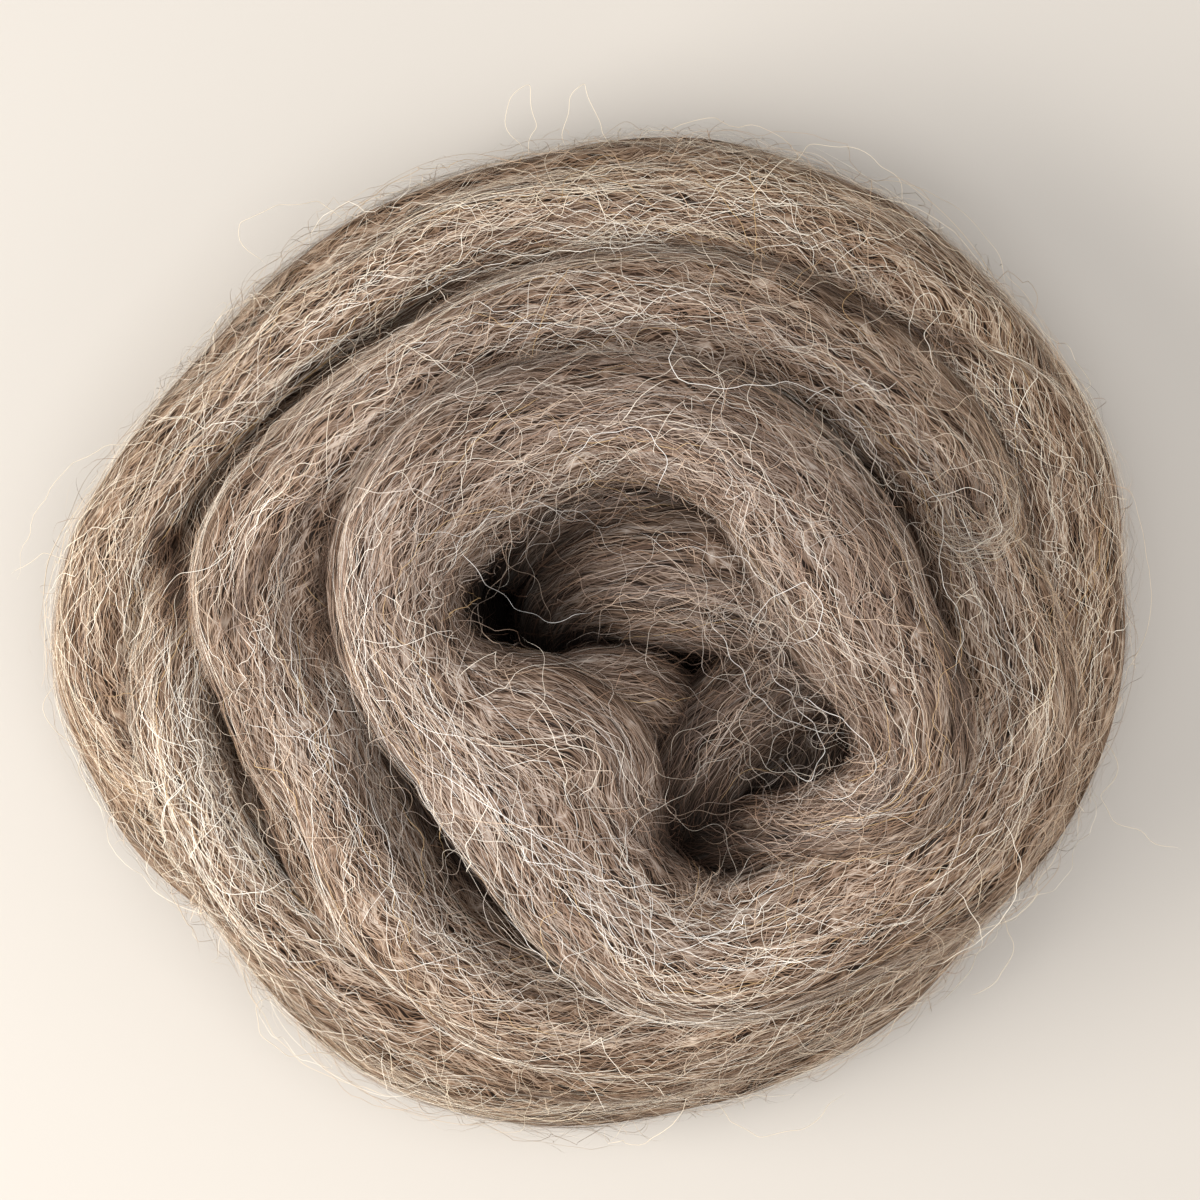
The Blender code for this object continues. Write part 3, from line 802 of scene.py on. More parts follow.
@dataclass(frozen=True)
class CardedGround:
    """Carded wool in depth: undyed coloured fleece combed into a sliver.

    Between the modelled fibres the eye sees many more, each 0.03 mm across, darker because they lie
    in shade; that shade is painted into their colour.  They are drawn 0.26 mm apart, since ones of
    real width are too fine to show.  Wool deep in a fold or hollow gets painted shade: its colour is
    mixed towards the deep colour by the piece's "shade" value.

    Lengths are millimetres.  Each layer is the lean of its lines in degrees, where its noise starts,
    and how much wider its lines are than the spacing.
    """

    name: str = "carded_wool_ground"
    stops: tuple[tuple[float, str], ...] = (
        (0.06, "#1f1610"), (0.32, "#544032"), (0.62, "#8b7463"), (0.94, "#d2c5ba"))
    # Colour of the painted shade in creases, hollows and deep turns.
    deep: str = "#17110d"
    roughness: float = 0.92
    spacing_mm: float = 0.26
    run_mm: float = 9.0
    crimp_mm: float = 4.0
    crimp_shift: tuple[float, float, float] = (0.002, 0.0032, 0.0)       # metres along and across
    patch_scale: tuple[float, float, float] = (60.0, 480.0, 1.0)         # patches 17 mm by 2 mm
    sharpness: float = 13.0
    line_share: float = 0.62
    # Painted shade: taken off the whole ground's tone for the shade between fibres.
    darker: float = 0.36
    layers: tuple[tuple[float, float, float], ...] = (
        (3.0, 0.13, 1.0), (-12.0, 0.71, 1.1), (20.0, 0.37, 1.5))

    def lines(self, tree: bpy.types.NodeTree, place: bpy.types.NodeSocket, lean: float,
              start: float, spacing_mm: float) -> bpy.types.NodeSocket:
        """Fine lines along the strand, leaning by a few degrees: 1 - |noise - 0.5| * sharpness.

        Args:
            tree: The material's node tree.
            place: The point on the unrolled strand in metres.
            lean: Turn of the lines in degrees.
            start: Shift of the noise, so that layers differ.
            spacing_mm: Distance between two lines.

        Returns:
            The height of the lines from 0 to 1.
        """
        turned = add_node(tree, "ShaderNodeMapping",
                          {"Rotation": (0.0, 0.0, math.radians(lean)), "Location": (start, start, 0.0)},
                          {"Vector": place})
        drawn = add_node(tree, "ShaderNodeMapping",
                         {"Scale": (1000.0 / self.run_mm, 1000.0 / spacing_mm / 2, 1.0)},
                         {"Vector": turned.outputs["Vector"]})
        noise = add_node(tree, "ShaderNodeTexNoise", {"Scale": 1.0, "Detail": 0.0},
                         {"Vector": drawn.outputs["Vector"]})
        middle = add_node(tree, "ShaderNodeMath", {"operation": "SUBTRACT", 1: 0.5},
                          {0: noise.outputs["Fac"]})
        side = add_node(tree, "ShaderNodeMath", {"operation": "ABSOLUTE"}, {0: middle.outputs["Value"]})
        ridge = add_node(tree, "ShaderNodeMath",
                         {"operation": "MULTIPLY_ADD", "use_clamp": True, 1: -self.sharpness, 2: 1.0},
                         {0: side.outputs["Value"]})
        return ridge.outputs["Value"]

    def make(self) -> bpy.types.Material:
        """Build the material: crimped, crossing lines from the piece's own "strand" map.

        Tone is the highest of the line layers, times line_share, plus a broad patchiness, less darker.

        Returns:
            The material.
        """
        material, tree, shader = new_material(self.name)
        flat = add_node(tree, "ShaderNodeUVMap", {"uv_map": "strand"})
        waves = add_node(tree, "ShaderNodeMapping", {"Scale": (1000.0 / self.crimp_mm, 160.0, 1.0)},
                         {"Vector": flat.outputs["UV"]})
        crimp = add_node(tree, "ShaderNodeTexNoise", {"Scale": 1.0, "Detail": 0.0},
                         {"Vector": waves.outputs["Vector"]})
        shift = add_node(tree, "ShaderNodeVectorMath", {"operation": "MULTIPLY_ADD", 1: self.crimp_shift},
                         {0: crimp.outputs["Color"], 2: flat.outputs["UV"]})
        upper = None
        for lean, start, wider in self.layers:
            line = self.lines(tree, shift.outputs["Vector"], lean, start, self.spacing_mm * wider)
            if upper is not None:
                line = add_node(tree, "ShaderNodeMath", {"operation": "MAXIMUM"},
                                {0: upper, 1: line}).outputs["Value"]
            upper = line
        wide = add_node(tree, "ShaderNodeMapping", {"Scale": self.patch_scale},
                        {"Vector": shift.outputs["Vector"]})
        band = add_node(tree, "ShaderNodeTexNoise", {"Scale": 1.0, "Detail": 1.0},
                        {"Vector": wide.outputs["Vector"]})
        height = add_node(tree, "ShaderNodeMath", {"operation": "MULTIPLY_ADD", 1: self.line_share},
                          {0: upper, 2: band.outputs["Fac"]})
        tone = add_node(tree, "ShaderNodeMath", {"operation": "SUBTRACT", 1: self.darker},
                        {0: height.outputs["Value"]})
        ramp = add_node(tree, "ShaderNodeValToRGB", {}, {"Fac": tone.outputs["Value"]})
        fill_ramp(ramp, self.stops)
        # Painted shade: the "shade" value mixes the ground towards the deep colour.
        painted_shade_share = add_node(tree, "ShaderNodeAttribute", {"attribute_name": "shade"})
        colour = add_node(tree, "ShaderNodeMix", {"data_type": "RGBA", 7: to_linear(self.deep)},
                          {0: painted_shade_share.outputs["Fac"], 6: ramp.outputs["Color"]})
        # Painted warm bounce light on the outer turns.
        tree.links.new(painted_warm_bounce(tree, colour.outputs[2]), shader.inputs["Base Color"])
        shader.inputs["Roughness"].default_value = self.roughness
        shader.inputs["Specular IOR Level"].default_value = 0.2
        return material


@dataclass(frozen=True)
class FleeceFibre:
    """Single wool fibres: keratin, scaled and crimped, with a soft gloss along the bends.

    The fleece is a natural mix, so each fibre's tone comes from its own "shade" value: dark brown,
    mid brown, grey, tan, cream, and a few weathered golden tips.  That value also carries painted
    shade, lower where a fibre lies deep in a crease, hollow or dark turn, and painted light along
    the paler outer turns.
    """

    name: str
    stops: tuple[tuple[float, str], ...]
    roughness: float = 0.55

    def make(self) -> bpy.types.Material:
        """Build the material from the fibre's own shade value.

        Returns:
            The material.
        """
        material, tree, shader = new_material(self.name)
        shade = add_node(tree, "ShaderNodeAttribute", {"attribute_name": "shade"})
        ramp = add_node(tree, "ShaderNodeValToRGB", {}, {"Fac": shade.outputs["Fac"]})
        fill_ramp(ramp, self.stops)
        # Painted warm bounce light on the outer turns.
        tree.links.new(painted_warm_bounce(tree, ramp.outputs["Color"]), shader.inputs["Base Color"])
        shader.inputs["Roughness"].default_value = self.roughness
        shader.inputs["IOR"].default_value = 1.55
        return material


FLEECE_MIX = (
    (0.00, "#18100b"), (0.10, "#36281f"), (0.22, "#5c4335"), (0.32, "#776255"), (0.42, "#9c7c64"),
    (0.52, "#a4988f"), (0.62, "#ccb29a"), (0.72, "#cfc7bf"), (0.82, "#efe4d3"), (0.93, "#fcfaf6"),
    (1.00, "#c2a376"))


# ------------------------------------------------------------------ meshes
class Form(Enum):
    """How a fibre is drawn."""

    RIBBON = "flat strip that lies on the wool"
    TUBE = "closed thread with three sides"


def new_piece(name: str, points: np.ndarray, quads: np.ndarray, corner_maps: dict[str, np.ndarray],
              shade: np.ndarray | None, material: bpy.types.Material) -> bpy.types.Object:
    """Put points and quads into a mesh object at the origin.

    Args:
        name: Name of the piece.
        points: Points in metres, one row each.
        quads: Point numbers, four to a face.
        corner_maps: Map name to one pair of numbers for each corner of each quad, in order.
        shade: A fibre's tone with painted shade in it, or the skin's share of painted shade, from 0 to 1; or
            None.
        material: The finish.

    Returns:
        The linked object.
    """
    mesh = bpy.data.meshes.new(name)
    mesh.vertices.add(len(points))
    mesh.vertices.foreach_set("co", points.astype(np.float32).ravel())
    mesh.loops.add(quads.size)
    mesh.loops.foreach_set("vertex_index", quads.astype(np.int32).ravel())
    mesh.polygons.add(len(quads))
    mesh.polygons.foreach_set("loop_start", (np.arange(len(quads)) * 4).astype(np.int32))
    mesh.polygons.foreach_set("use_smooth", np.ones(len(quads), dtype=bool))
    mesh.update(calc_edges=True)
    for map_name, corners in corner_maps.items():
        layer = mesh.uv_layers.new(name=map_name)
        layer.data.foreach_set("uv", corners.astype(np.float32).ravel())
    if shade is not None:
        tone = mesh.attributes.new("shade", "FLOAT", "POINT")
        tone.data.foreach_set("value", shade.astype(np.float32).ravel())
    mesh.materials.append(material)
    piece = bpy.data.objects.new(name, mesh)
    bpy.context.scene.collection.objects.link(piece)
    return piece


def dress(piece: bpy.types.Object) -> bpy.types.Object:
    """Let a piece ride on the nest and stand for its solid.

    Args:
        piece: The finished piece.

    Returns:
        The same piece.
    """
    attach(piece, BODY)
    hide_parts(CAD_NODE)
    LOG.info("%s: %d faces", piece.name, len(piece.data.polygons))
    return piece


@dataclass
class StrandSkin:
    """The surface of every stretch: a grid of points, s along the strand and a round it."""

    nest: Nest
    cover: HeightField
    step: float = 2.2
    segments: int = 44

    def build(self, material: bpy.types.Material) -> list[bpy.types.Object]:
        """Make one closed tube for each stretch: its ends are drawn together, and shade is painted into it
        in creases, hollows and deep turns.

        Args:
            material: The finish.

        Returns:
            The pieces, one a stretch.
        """
        pieces = []
        for strand in self.nest.strands:
            step = self.step if strand.share > 0.4 else 2.0 * self.step
            rows = max(10, int(strand.length / step))
            s = np.linspace(0.0, strand.length, rows)[:, None]
            around = np.linspace(0.0, math.tau, self.segments, endpoint=False)[None, :]
            s, around = np.broadcast_arrays(s, around)
            grid, outs = strand.surface(s, around, np.full(s.shape, -SKIN_SINK))
            for end in (0, -1):
                grid[end] = grid[end].mean(axis=0)
            here = np.arange(rows - 1)[:, None] * self.segments
            a = np.arange(self.segments)[None, :]
            b = (a + 1) % self.segments
            there = here + self.segments
            quads = np.stack((here + a, here + b, there + b, there + a), axis=-1).reshape(-1, 4)
            girth = math.tau * MAP_RADIUS * MM
            u0, u1, v0 = np.broadcast_arrays(s[:-1, :1] * MM, s[1:, :1] * MM, a / self.segments * girth)
            v1 = v0 + girth / self.segments
            corners = np.stack((u0, v0, u0, v1, u1, v1, u1, v0), axis=-1)
            # Painted shade and light: share of light kept after creases, hollows and the turn's painted
            # shade; what is lost goes into the "shade" value.
            painted_lit = (1.0 - 0.92 * self.cover.painted_shade_share(grid, outs)) * (1.0 - 0.75 * strand.painted_shade_along(s))
            piece = new_piece(strand.name + "_strand", grid.reshape(-1, 3) * MM, quads,
                              {"strand": corners.reshape(-1, 2)}, 1.0 - painted_lit.ravel(), material)
            pieces.append(dress(piece))
        return pieces


def rough_walk(rng: np.random.Generator, count: int, rings: int, passes: int) -> np.ndarray:
    """Chance numbers that change smoothly along each fibre, spread about 1 either side of 0.

    In each pass a number becomes half of itself and a quarter of each neighbour.

    Args:
        rng: Source of chance.
        count: How many fibres.
        rings: How many numbers for each.
        passes: How often they are smoothed.

    Returns:
        The numbers, one row a fibre.
    """
    values = rng.normal(0.0, 1.0, (count, rings + 2 * passes))
    for _ in range(passes):
        values = 0.25 * values[:, :-2] + 0.5 * values[:, 1:-1] + 0.25 * values[:, 2:]
    return values / np.maximum(values.std(), 1e-9)


@dataclass
class FibreCoat:
    """A coat of fibres on the strand.

    Each fibre starts as a straight line on the unrolled surface, slanted by a few degrees, then
    gets crimp: a wave sideways and another up and down whose pace and size drift along the fibre,
    on top of a slow wander.  A share of them crimp together with their neighbours, as locks do.
    The ends dip back into the wool.

    Ranges are millimetres: length, width, lift off the wool, size of the wave, length of one crimp,
    and rise of the middle.  Slant is degrees.  Edge, golden, free_end, together and top_only are
    shares: of fibres kept to the nest's edge, golden, with one end in the air, crimped as in a lock,
    and left on what faces down.
    """

    name: str
    form: Form
    count: int
    rings: int
    length: tuple[float, float]
    width: tuple[float, float]
    lift: tuple[float, float]
    wave: tuple[float, float]
    crimp: tuple[float, float]
    slant: float
    tone: tuple[float, float]
    seed: int
    rise: tuple[float, float] = (0.0, 0.0)
    golden: float = 0.012
    pieces: int = 1
    free_end: float = 0.0
    top_only: float = 0.3
    wander: float = 0.5
    edge: float = 0.0
    together: float = 0.0

    def seeds(self, nest: Nest, rng: np.random.Generator) -> list[tuple[int, np.ndarray, np.ndarray]]:
        """Scatter starting places over the open surface, thinner on the underside.

        Args:
            nest: The strands.
            rng: Source of chance.

        Returns:
            Strand number, places along and places round, for each strand.
        """
        weight = np.array([st.length * float(np.mean(st.half_width + st.half_thick)) * st.share
                           for st in nest.strands])
        open_places = []
        for index, strand in enumerate(nest.strands):
            tries = int(self.count * (3.4 + 6.0 * self.edge) * weight[index] / weight.sum()) + 8
            s = rng.uniform(0.0, strand.length, tries)
            around = rng.uniform(-math.pi, math.pi, tries)
            point, out = strand.surface(s, around, np.full(tries, 0.3))
            keep = rng.uniform(0, 1, tries) < np.where(out[:, 2] > -0.25, 1.0, self.top_only)
            keep &= ~nest.hidden(point, index, s, 0.97)
            outer = np.hypot(point[:, 0], point[:, 1]) > EDGE_RADIUS
            keep &= outer | (rng.uniform(0, 1, tries) > self.edge)
            open_places.append((index, s[keep], around[keep]))
        total = sum(len(p[1]) for p in open_places)
        share = min(1.0, self.count / max(total, 1))
        return [(i, s[:int(len(s) * share)], a[:int(len(a) * share)]) for i, s, a in open_places]

    def lines(self, strand: Strand, s0: np.ndarray, around0: np.ndarray,
              rng: np.random.Generator) -> tuple[np.ndarray, np.ndarray]:
        """Work out the fibres' lines on one strand.

        Args:
            strand: The strand they lie on.
            s0: Middle of each fibre along the strand in mm.
            around0: Its place round the strand.
            rng: Source of chance.

        Returns:
            Points in mm with shape fibres by rings by three, and the outward directions.
        """
        count, rings = len(s0), self.rings
        t = np.linspace(-0.5, 0.5, rings)[None, :]
        span = rng.uniform(*self.length, count)[:, None]
        lean = np.radians(rng.normal(0.0, self.slant, count))[:, None]
        mm = t * span
        radius = strand.girth(s0)[:, None]
        period = rng.uniform(*self.crimp, count)[:, None]
        pace = math.tau * span / (rings - 1) / period * (1.0 + 0.45 * rough_walk(rng, count, rings, 3))
        phase = rng.uniform(0, math.tau, (count, 1)) + np.cumsum(pace, axis=1)
        shared = strand.lock_phase(s0[:, None] + mm, around0[:, None])
        shared = shared + 0.5 * rough_walk(rng, count, rings, 8)
        phase = np.where(rng.uniform(0, 1, (count, 1)) < self.together, shared, phase)
        size = rng.uniform(*self.wave, count)[:, None]
        size = size * np.clip(0.8 + 0.5 * rough_walk(rng, count, rings, 6), 0.1, 2.0)
        side = mm * np.sin(lean) + size * np.sin(phase)
        side = side + self.wander * rough_walk(rng, count, rings, 30)
        s = s0[:, None] + mm * np.cos(lean) + 0.35 * size * np.sin(1.7 * phase)
        around = around0[:, None] + side / radius
        base = rng.uniform(*self.lift, count)[:, None]
        peak = rng.uniform(*self.rise, count)[:, None]
        arch = np.sin(math.pi * (t + 0.5)) ** 0.8
        lift = base + peak * arch + 0.4 * size * np.cos(phase * 0.93)
        free = rng.uniform(0, 1, (count, 1)) < self.free_end
        lift = np.where(free, base + peak * (t + 0.5) ** 1.6, lift)
        dip = 0.4 * np.clip(1.0 - (0.5 - np.abs(t)) / 0.1, 0.0, 1.0)
        lift = np.maximum(lift - np.where(free & (t > 0), 0.0, dip), -0.2)
        return strand.surface(np.clip(s, 0.5, strand.length - 0.5), around, lift)

    def build(self, nest: Nest, cover: HeightField, material: bpy.types.Material) -> list[bpy.types.Object]:
        """Scatter the fibres, draw them and split them over this coat's pieces.

        Args:
            nest: The strands that they lie on.
            cover: Tells how deep a fibre lies, for the shade painted into its tone.
            material: The finish.

        Returns:
            The pieces of this coat.
        """
        rng = np.random.default_rng(self.seed)
        sets = []
        for index, s0, around0 in self.seeds(nest, rng):
            if len(s0):
                strand = nest.strands[index]
                sets.append((*self.lines(strand, s0, around0, rng), strand.painted_shade_along(s0)))
        points, outs, painted_dark = (np.concatenate(parts) for parts in zip(*sets))
        order = rng.permutation(len(points))
        points, outs, painted_dark = points[order], outs[order], painted_dark[order]
        made = []
        for number, part in enumerate(np.array_split(np.arange(len(points)), self.pieces)):
            name = self.name if self.pieces == 1 else f"{self.name}_{number + 1}"
            tone = tones(len(part), self.tone, self.golden, rng)[:, None]
            # Painted shade and light: the tone is darkened where a fibre lies deep in a crease, hollow or
            # dark turn, and lightened along the paler outer turns.
            painted_shade_share = cover.painted_shade_share(points[part], outs[part])
            painted_lit = (1.0 - 0.72 * painted_shade_share) * (1.0 - 0.55 * painted_dark[part])[:, None]
            tone = np.where(tone == GOLDEN, tone, np.minimum(tone * painted_lit, LIGHTEST))
            width = rng.uniform(*self.width, len(part))
            made.append(dress(draw_fibres(name, points[part], outs[part], width, tone, self.form, material)))
        return made


def tones(count: int, span: tuple[float, float], golden: float, rng: np.random.Generator) -> np.ndarray:
    """Draw each fibre's tone: near the middle of span or evenly over it, with a few golden at 1.

    Args:
        count: How many fibres.
        span: Darkest and palest tone.
        golden: Share of them that is golden.
        rng: Source of chance.

    Returns:
        One tone a fibre.
    """
    middle, spread = 0.5 * (span[0] + span[1]), 0.5 * (span[1] - span[0])
    bell = rng.normal(middle, spread * 0.5, count)
    even = rng.uniform(span[0], span[1], count)
    tone = np.clip(np.where(rng.uniform(0, 1, count) < 0.45, even, bell), 0.02, LIGHTEST)
    tone[rng.uniform(0, 1, count) < golden] = GOLDEN
    return tone


def draw_fibres(name: str, points: np.ndarray, outs: np.ndarray, width: np.ndarray, tone: np.ndarray,
                form: Form, material: bpy.types.Material) -> bpy.types.Object:
    """Turn fibre lines into one mesh, each fibre tapering at its ends.

    A ribbon has an edge on each side of the line, at half the width along forward x outward.  A tube
    has three edges, at thirds of a turn round the line.  Its faces go round the other way, so that
    both face out.  In the map each fibre has a cell of its own, with a margin of 0.15 of the cell.

    Args:
        name: Name of the piece.
        points: Lines in mm, fibres by rings by three.
        outs: Outward directions.
        width: Width of each fibre in mm.
        tone: Tone of each fibre, or of each ring of each fibre.
        form: Ribbon or tube.
        material: The finish.

    Returns:
        The object.
    """
    fibres, rings = points.shape[:2]
    forward = unit(np.gradient(points, axis=1))
    across = unit(np.cross(forward, outs))
    upward = np.cross(across, forward)
    t = np.linspace(0.0, 1.0, rings)
    taper = np.clip(np.minimum(t, 1.0 - t) / 0.12, 0.18, 1.0)
    half = 0.5 * width[:, None] * taper[None, :]
    if form is Form.RIBBON:
        angles = np.array((math.pi, 0.0))
        sides, order = 1, (0, 1, 2, 3)
    else:
        angles = np.array((0.0, 2.0, 4.0)) * math.pi / 3.0 + math.pi / 2
        sides, order = 3, (0, 3, 2, 1)
    edges = len(angles)
    offset = across[:, :, None, :] * np.cos(angles)[None, None, :, None]
    offset = offset + upward[:, :, None, :] * np.sin(angles)[None, None, :, None]
    mesh_points = points[:, :, None, :] + offset * half[:, :, None, None]
    number = np.arange(fibres)[:, None, None]
    here = (number * rings + np.arange(rings - 1)[None, :, None]) * edges
    there = here + edges
    a = np.arange(sides)[None, None, :]
    b = (a + 1) % edges
    quads = np.stack((here + a, here + b, there + b, there + a), axis=-1)[..., order]
    cells = int(math.ceil(math.sqrt(fibres)))
    column, row = number % cells, number // cells
    u0 = (column + 0.15 + 0.7 * t[None, :-1, None]) / cells
    u1 = (column + 0.15 + 0.7 * t[None, 1:, None]) / cells
    lane = a / sides
    v0 = (row + 0.15 + 0.7 * lane) / cells
    v1 = (row + 0.15 + 0.7 * (lane + 1.0 / sides)) / cells
    u0, u1, v0, v1 = np.broadcast_arrays(u0, u1, v0, v1)
    corners = np.stack((u0, v0, u0, v1, u1, v1, u1, v0), axis=-1).reshape(fibres, -1, 4, 2)
    corner_map = corners[:, :, order, :]
    shade = np.broadcast_to(tone.reshape(fibres, -1)[:, :, None], (fibres, rings, edges))
    return new_piece(name, mesh_points.reshape(-1, 3) * MM, quads.reshape(-1, 4),
                     {"OFBake": corner_map.reshape(-1, 2)}, shade, material)


@dataclass
class CrossingStrays:
    """Pale curls that lie over the creases: plane curves laid on the slack cover of the nest.

    A scattered curl is dropped where it goes farther than farthest mm from the middle, or comes
    nearer to the table than lowest mm.
    """

    cover: HeightField
    count: int = 300
    rings: int = 38
    seed: int = 77
    farthest: float = 80.0
    lowest: float = 6.0

    def scattered(self, rng: np.random.Generator, count: int, reach: float,
                  middle: tuple[float, float] = (0.0, 0.0), run: float | None = None) -> np.ndarray:
        """Curls that turn at random: the heading is two waves round the way of the strand.

        Args:
            rng: Source of chance.
            count: How many curls.
            reach: How far from the middle they lie, in mm.
            middle: Their middle in mm.
            run: Angle that they follow in place of the strand's way, or None.

        Returns:
            Points in mm with shape curls by rings by three.
        """
        t = np.linspace(0.0, 1.0, self.rings)[None, :]
        radius = reach * np.sqrt(rng.uniform(0.01, 1.0, count))[:, None]
        angle = rng.uniform(0, math.tau, count)[:, None]
        heading = angle + math.pi / 2 + rng.normal(0.0, 0.9, count)[:, None]
        if run is not None:
            heading = run + rng.normal(0.0, 0.3, (count, 1))
        span = rng.uniform(12.0, 42.0, count)[:, None]
        phase = rng.uniform(0, math.tau, (count, 3))
        bend = rng.uniform(0.3, 1.5, (count, 1))
        turn = heading + bend * np.sin(math.tau * t * rng.uniform(0.5, 1.6, (count, 1)) + phase[:, :1])
        turn = turn + 0.45 * np.sin(math.tau * t * span / 7.0 + phase[:, 1:2])
        step = span / (self.rings - 1)
        x = middle[0] + radius * np.cos(angle) + np.cumsum(np.cos(turn), axis=1) * step
        y = middle[1] + radius * np.sin(angle) + np.cumsum(np.sin(turn), axis=1) * step
        x = x - np.mean(x - x[:, :1], axis=1, keepdims=True)
        y = y - np.mean(y - y[:, :1], axis=1, keepdims=True)
        lift = 0.35 + rng.uniform(0.0, 1.6, (count, 1)) * np.sin(math.pi * t) ** 0.7
        return np.stack((x, y, self.cover.at(x, y) + lift), axis=-1)

    def knot(self, rng: np.random.Generator, count: int, middle: tuple[float, float],
             radius: float) -> np.ndarray:
        """Curls wound round a middle, where a lock has turned on itself.

        Each runs part of the way round a ring of its own, most of them below and to the right of the
        middle, and the ring's radius wavers by a seventh.

        Args:
            rng: Source of chance.
            count: How many curls.
            middle: Their middle in mm.
            radius: Radius of the widest ring in mm.

        Returns:
            Points in mm with shape curls by rings by three.
        """
        t = np.linspace(0.0, 1.0, self.rings)[None, :]
        turn = rng.normal(-2.5, 0.7, (count, 1)) + rng.uniform(1.4, 3.8, (count, 1)) * t
        ring = radius * np.sqrt(rng.uniform(0.08, 1.0, (count, 1)))
        ring = ring * (1.0 + 0.14 * np.sin(2.6 * turn + rng.uniform(0, math.tau, (count, 1))))
        ring = ring + 0.3 * np.sin(9.0 * turn + rng.uniform(0, math.tau, (count, 1)))
        x = middle[0] + ring * np.cos(turn) + rng.normal(0.0, 0.8, (count, 1))
        y = middle[1] + 0.9 * ring * np.sin(turn) + rng.normal(0.0, 0.8, (count, 1))
        lift = 0.4 + rng.uniform(0.2, 1.8, (count, 1)) * np.sin(math.pi * t) ** 0.7
        return np.stack((x, y, self.cover.at(x, y) + lift), axis=-1)

    def named(self) -> np.ndarray:
        """The single long curls, each a smooth line through its rows with a little crimp.

        Returns:
            Points in mm with shape curls by rings by three.
        """
        lines = []
        for number, rows in enumerate(NAMED_CURLS):
            place, (x, y, lift) = through_rows(rows, self.rings, 2)
            x = x + 0.25 * np.sin(place * 1.3 + number)
            y = y + 0.25 * np.sin(place * 1.1 + 2.0 * number)
            lines.append(np.stack((x, y, self.cover.at(x, y) + 0.3 + lift), axis=-1))
        return np.array(lines)

    def flying(self) -> np.ndarray:
        """The hairs that stand off the edge, each a smooth line through its rows with a little crimp.

        Returns:
            Points in mm with shape curls by rings by three.
        """
        lines = []
        for number, rows in enumerate(FLYAWAYS):
            place, (x, y, z) = through_rows(rows, self.rings, 3)
            x = x + 0.3 * np.sin(place * 1.1 + number)
            y = y + 0.3 * np.cos(place * 0.9)
            lines.append(np.stack((x, y, z), axis=-1))
        return np.array(lines)

    def build(self, material: bpy.types.Material) -> bpy.types.Object:
        """Draw the scattered curls, the single ones and the hairs at the edge as threads.

        The scattered ones are a brush along the slide's inner edge, a few at the right end of the
        lower pit, a few over the gap above the inner strand, the knot on the second turn, and the
        rest all over.

        Args:
            material: The finish.

        Returns:
            The piece.
        """
        rng = np.random.default_rng(self.seed)
        brush = self.scattered(rng, self.count // 9, 8.0, (25.0, -1.0), -1.05)
        edge = self.scattered(rng, self.count // 30, 9.0, (33.0, -14.0))
        bridge = self.scattered(rng, self.count // 30, 7.0, (-7.0, 17.0), 0.35)
        knot = self.knot(rng, self.count // 6, (54.0, 18.0), 8.3)
        loose = np.concatenate((self.scattered(rng, self.count, 74.0), brush, edge, bridge, knot))
        reach = np.hypot(loose[..., 0], loose[..., 1]).max(axis=1)
        floor = loose[..., 2].min(axis=1)
        loose = loose[(reach < self.farthest) & (floor > self.lowest)]
        named, flying = self.named(), self.flying()
        points = np.concatenate((loose, named, flying))
        outs = np.broadcast_to(np.array((0.0, 0.0, 1.0)), points.shape)
        tone = np.concatenate((tones(len(loose), (0.4, 0.9), 0.02, rng), np.full(len(named), LIGHTEST),
                               np.full(len(flying), 0.88)))
        width = np.concatenate((rng.uniform(0.05, 0.09, len(loose)), np.full(len(named), 0.11),
                                np.full(len(flying), 0.10)))
        return dress(draw_fibres("crossing_strays", points, outs, width, tone, Form.TUBE, material))


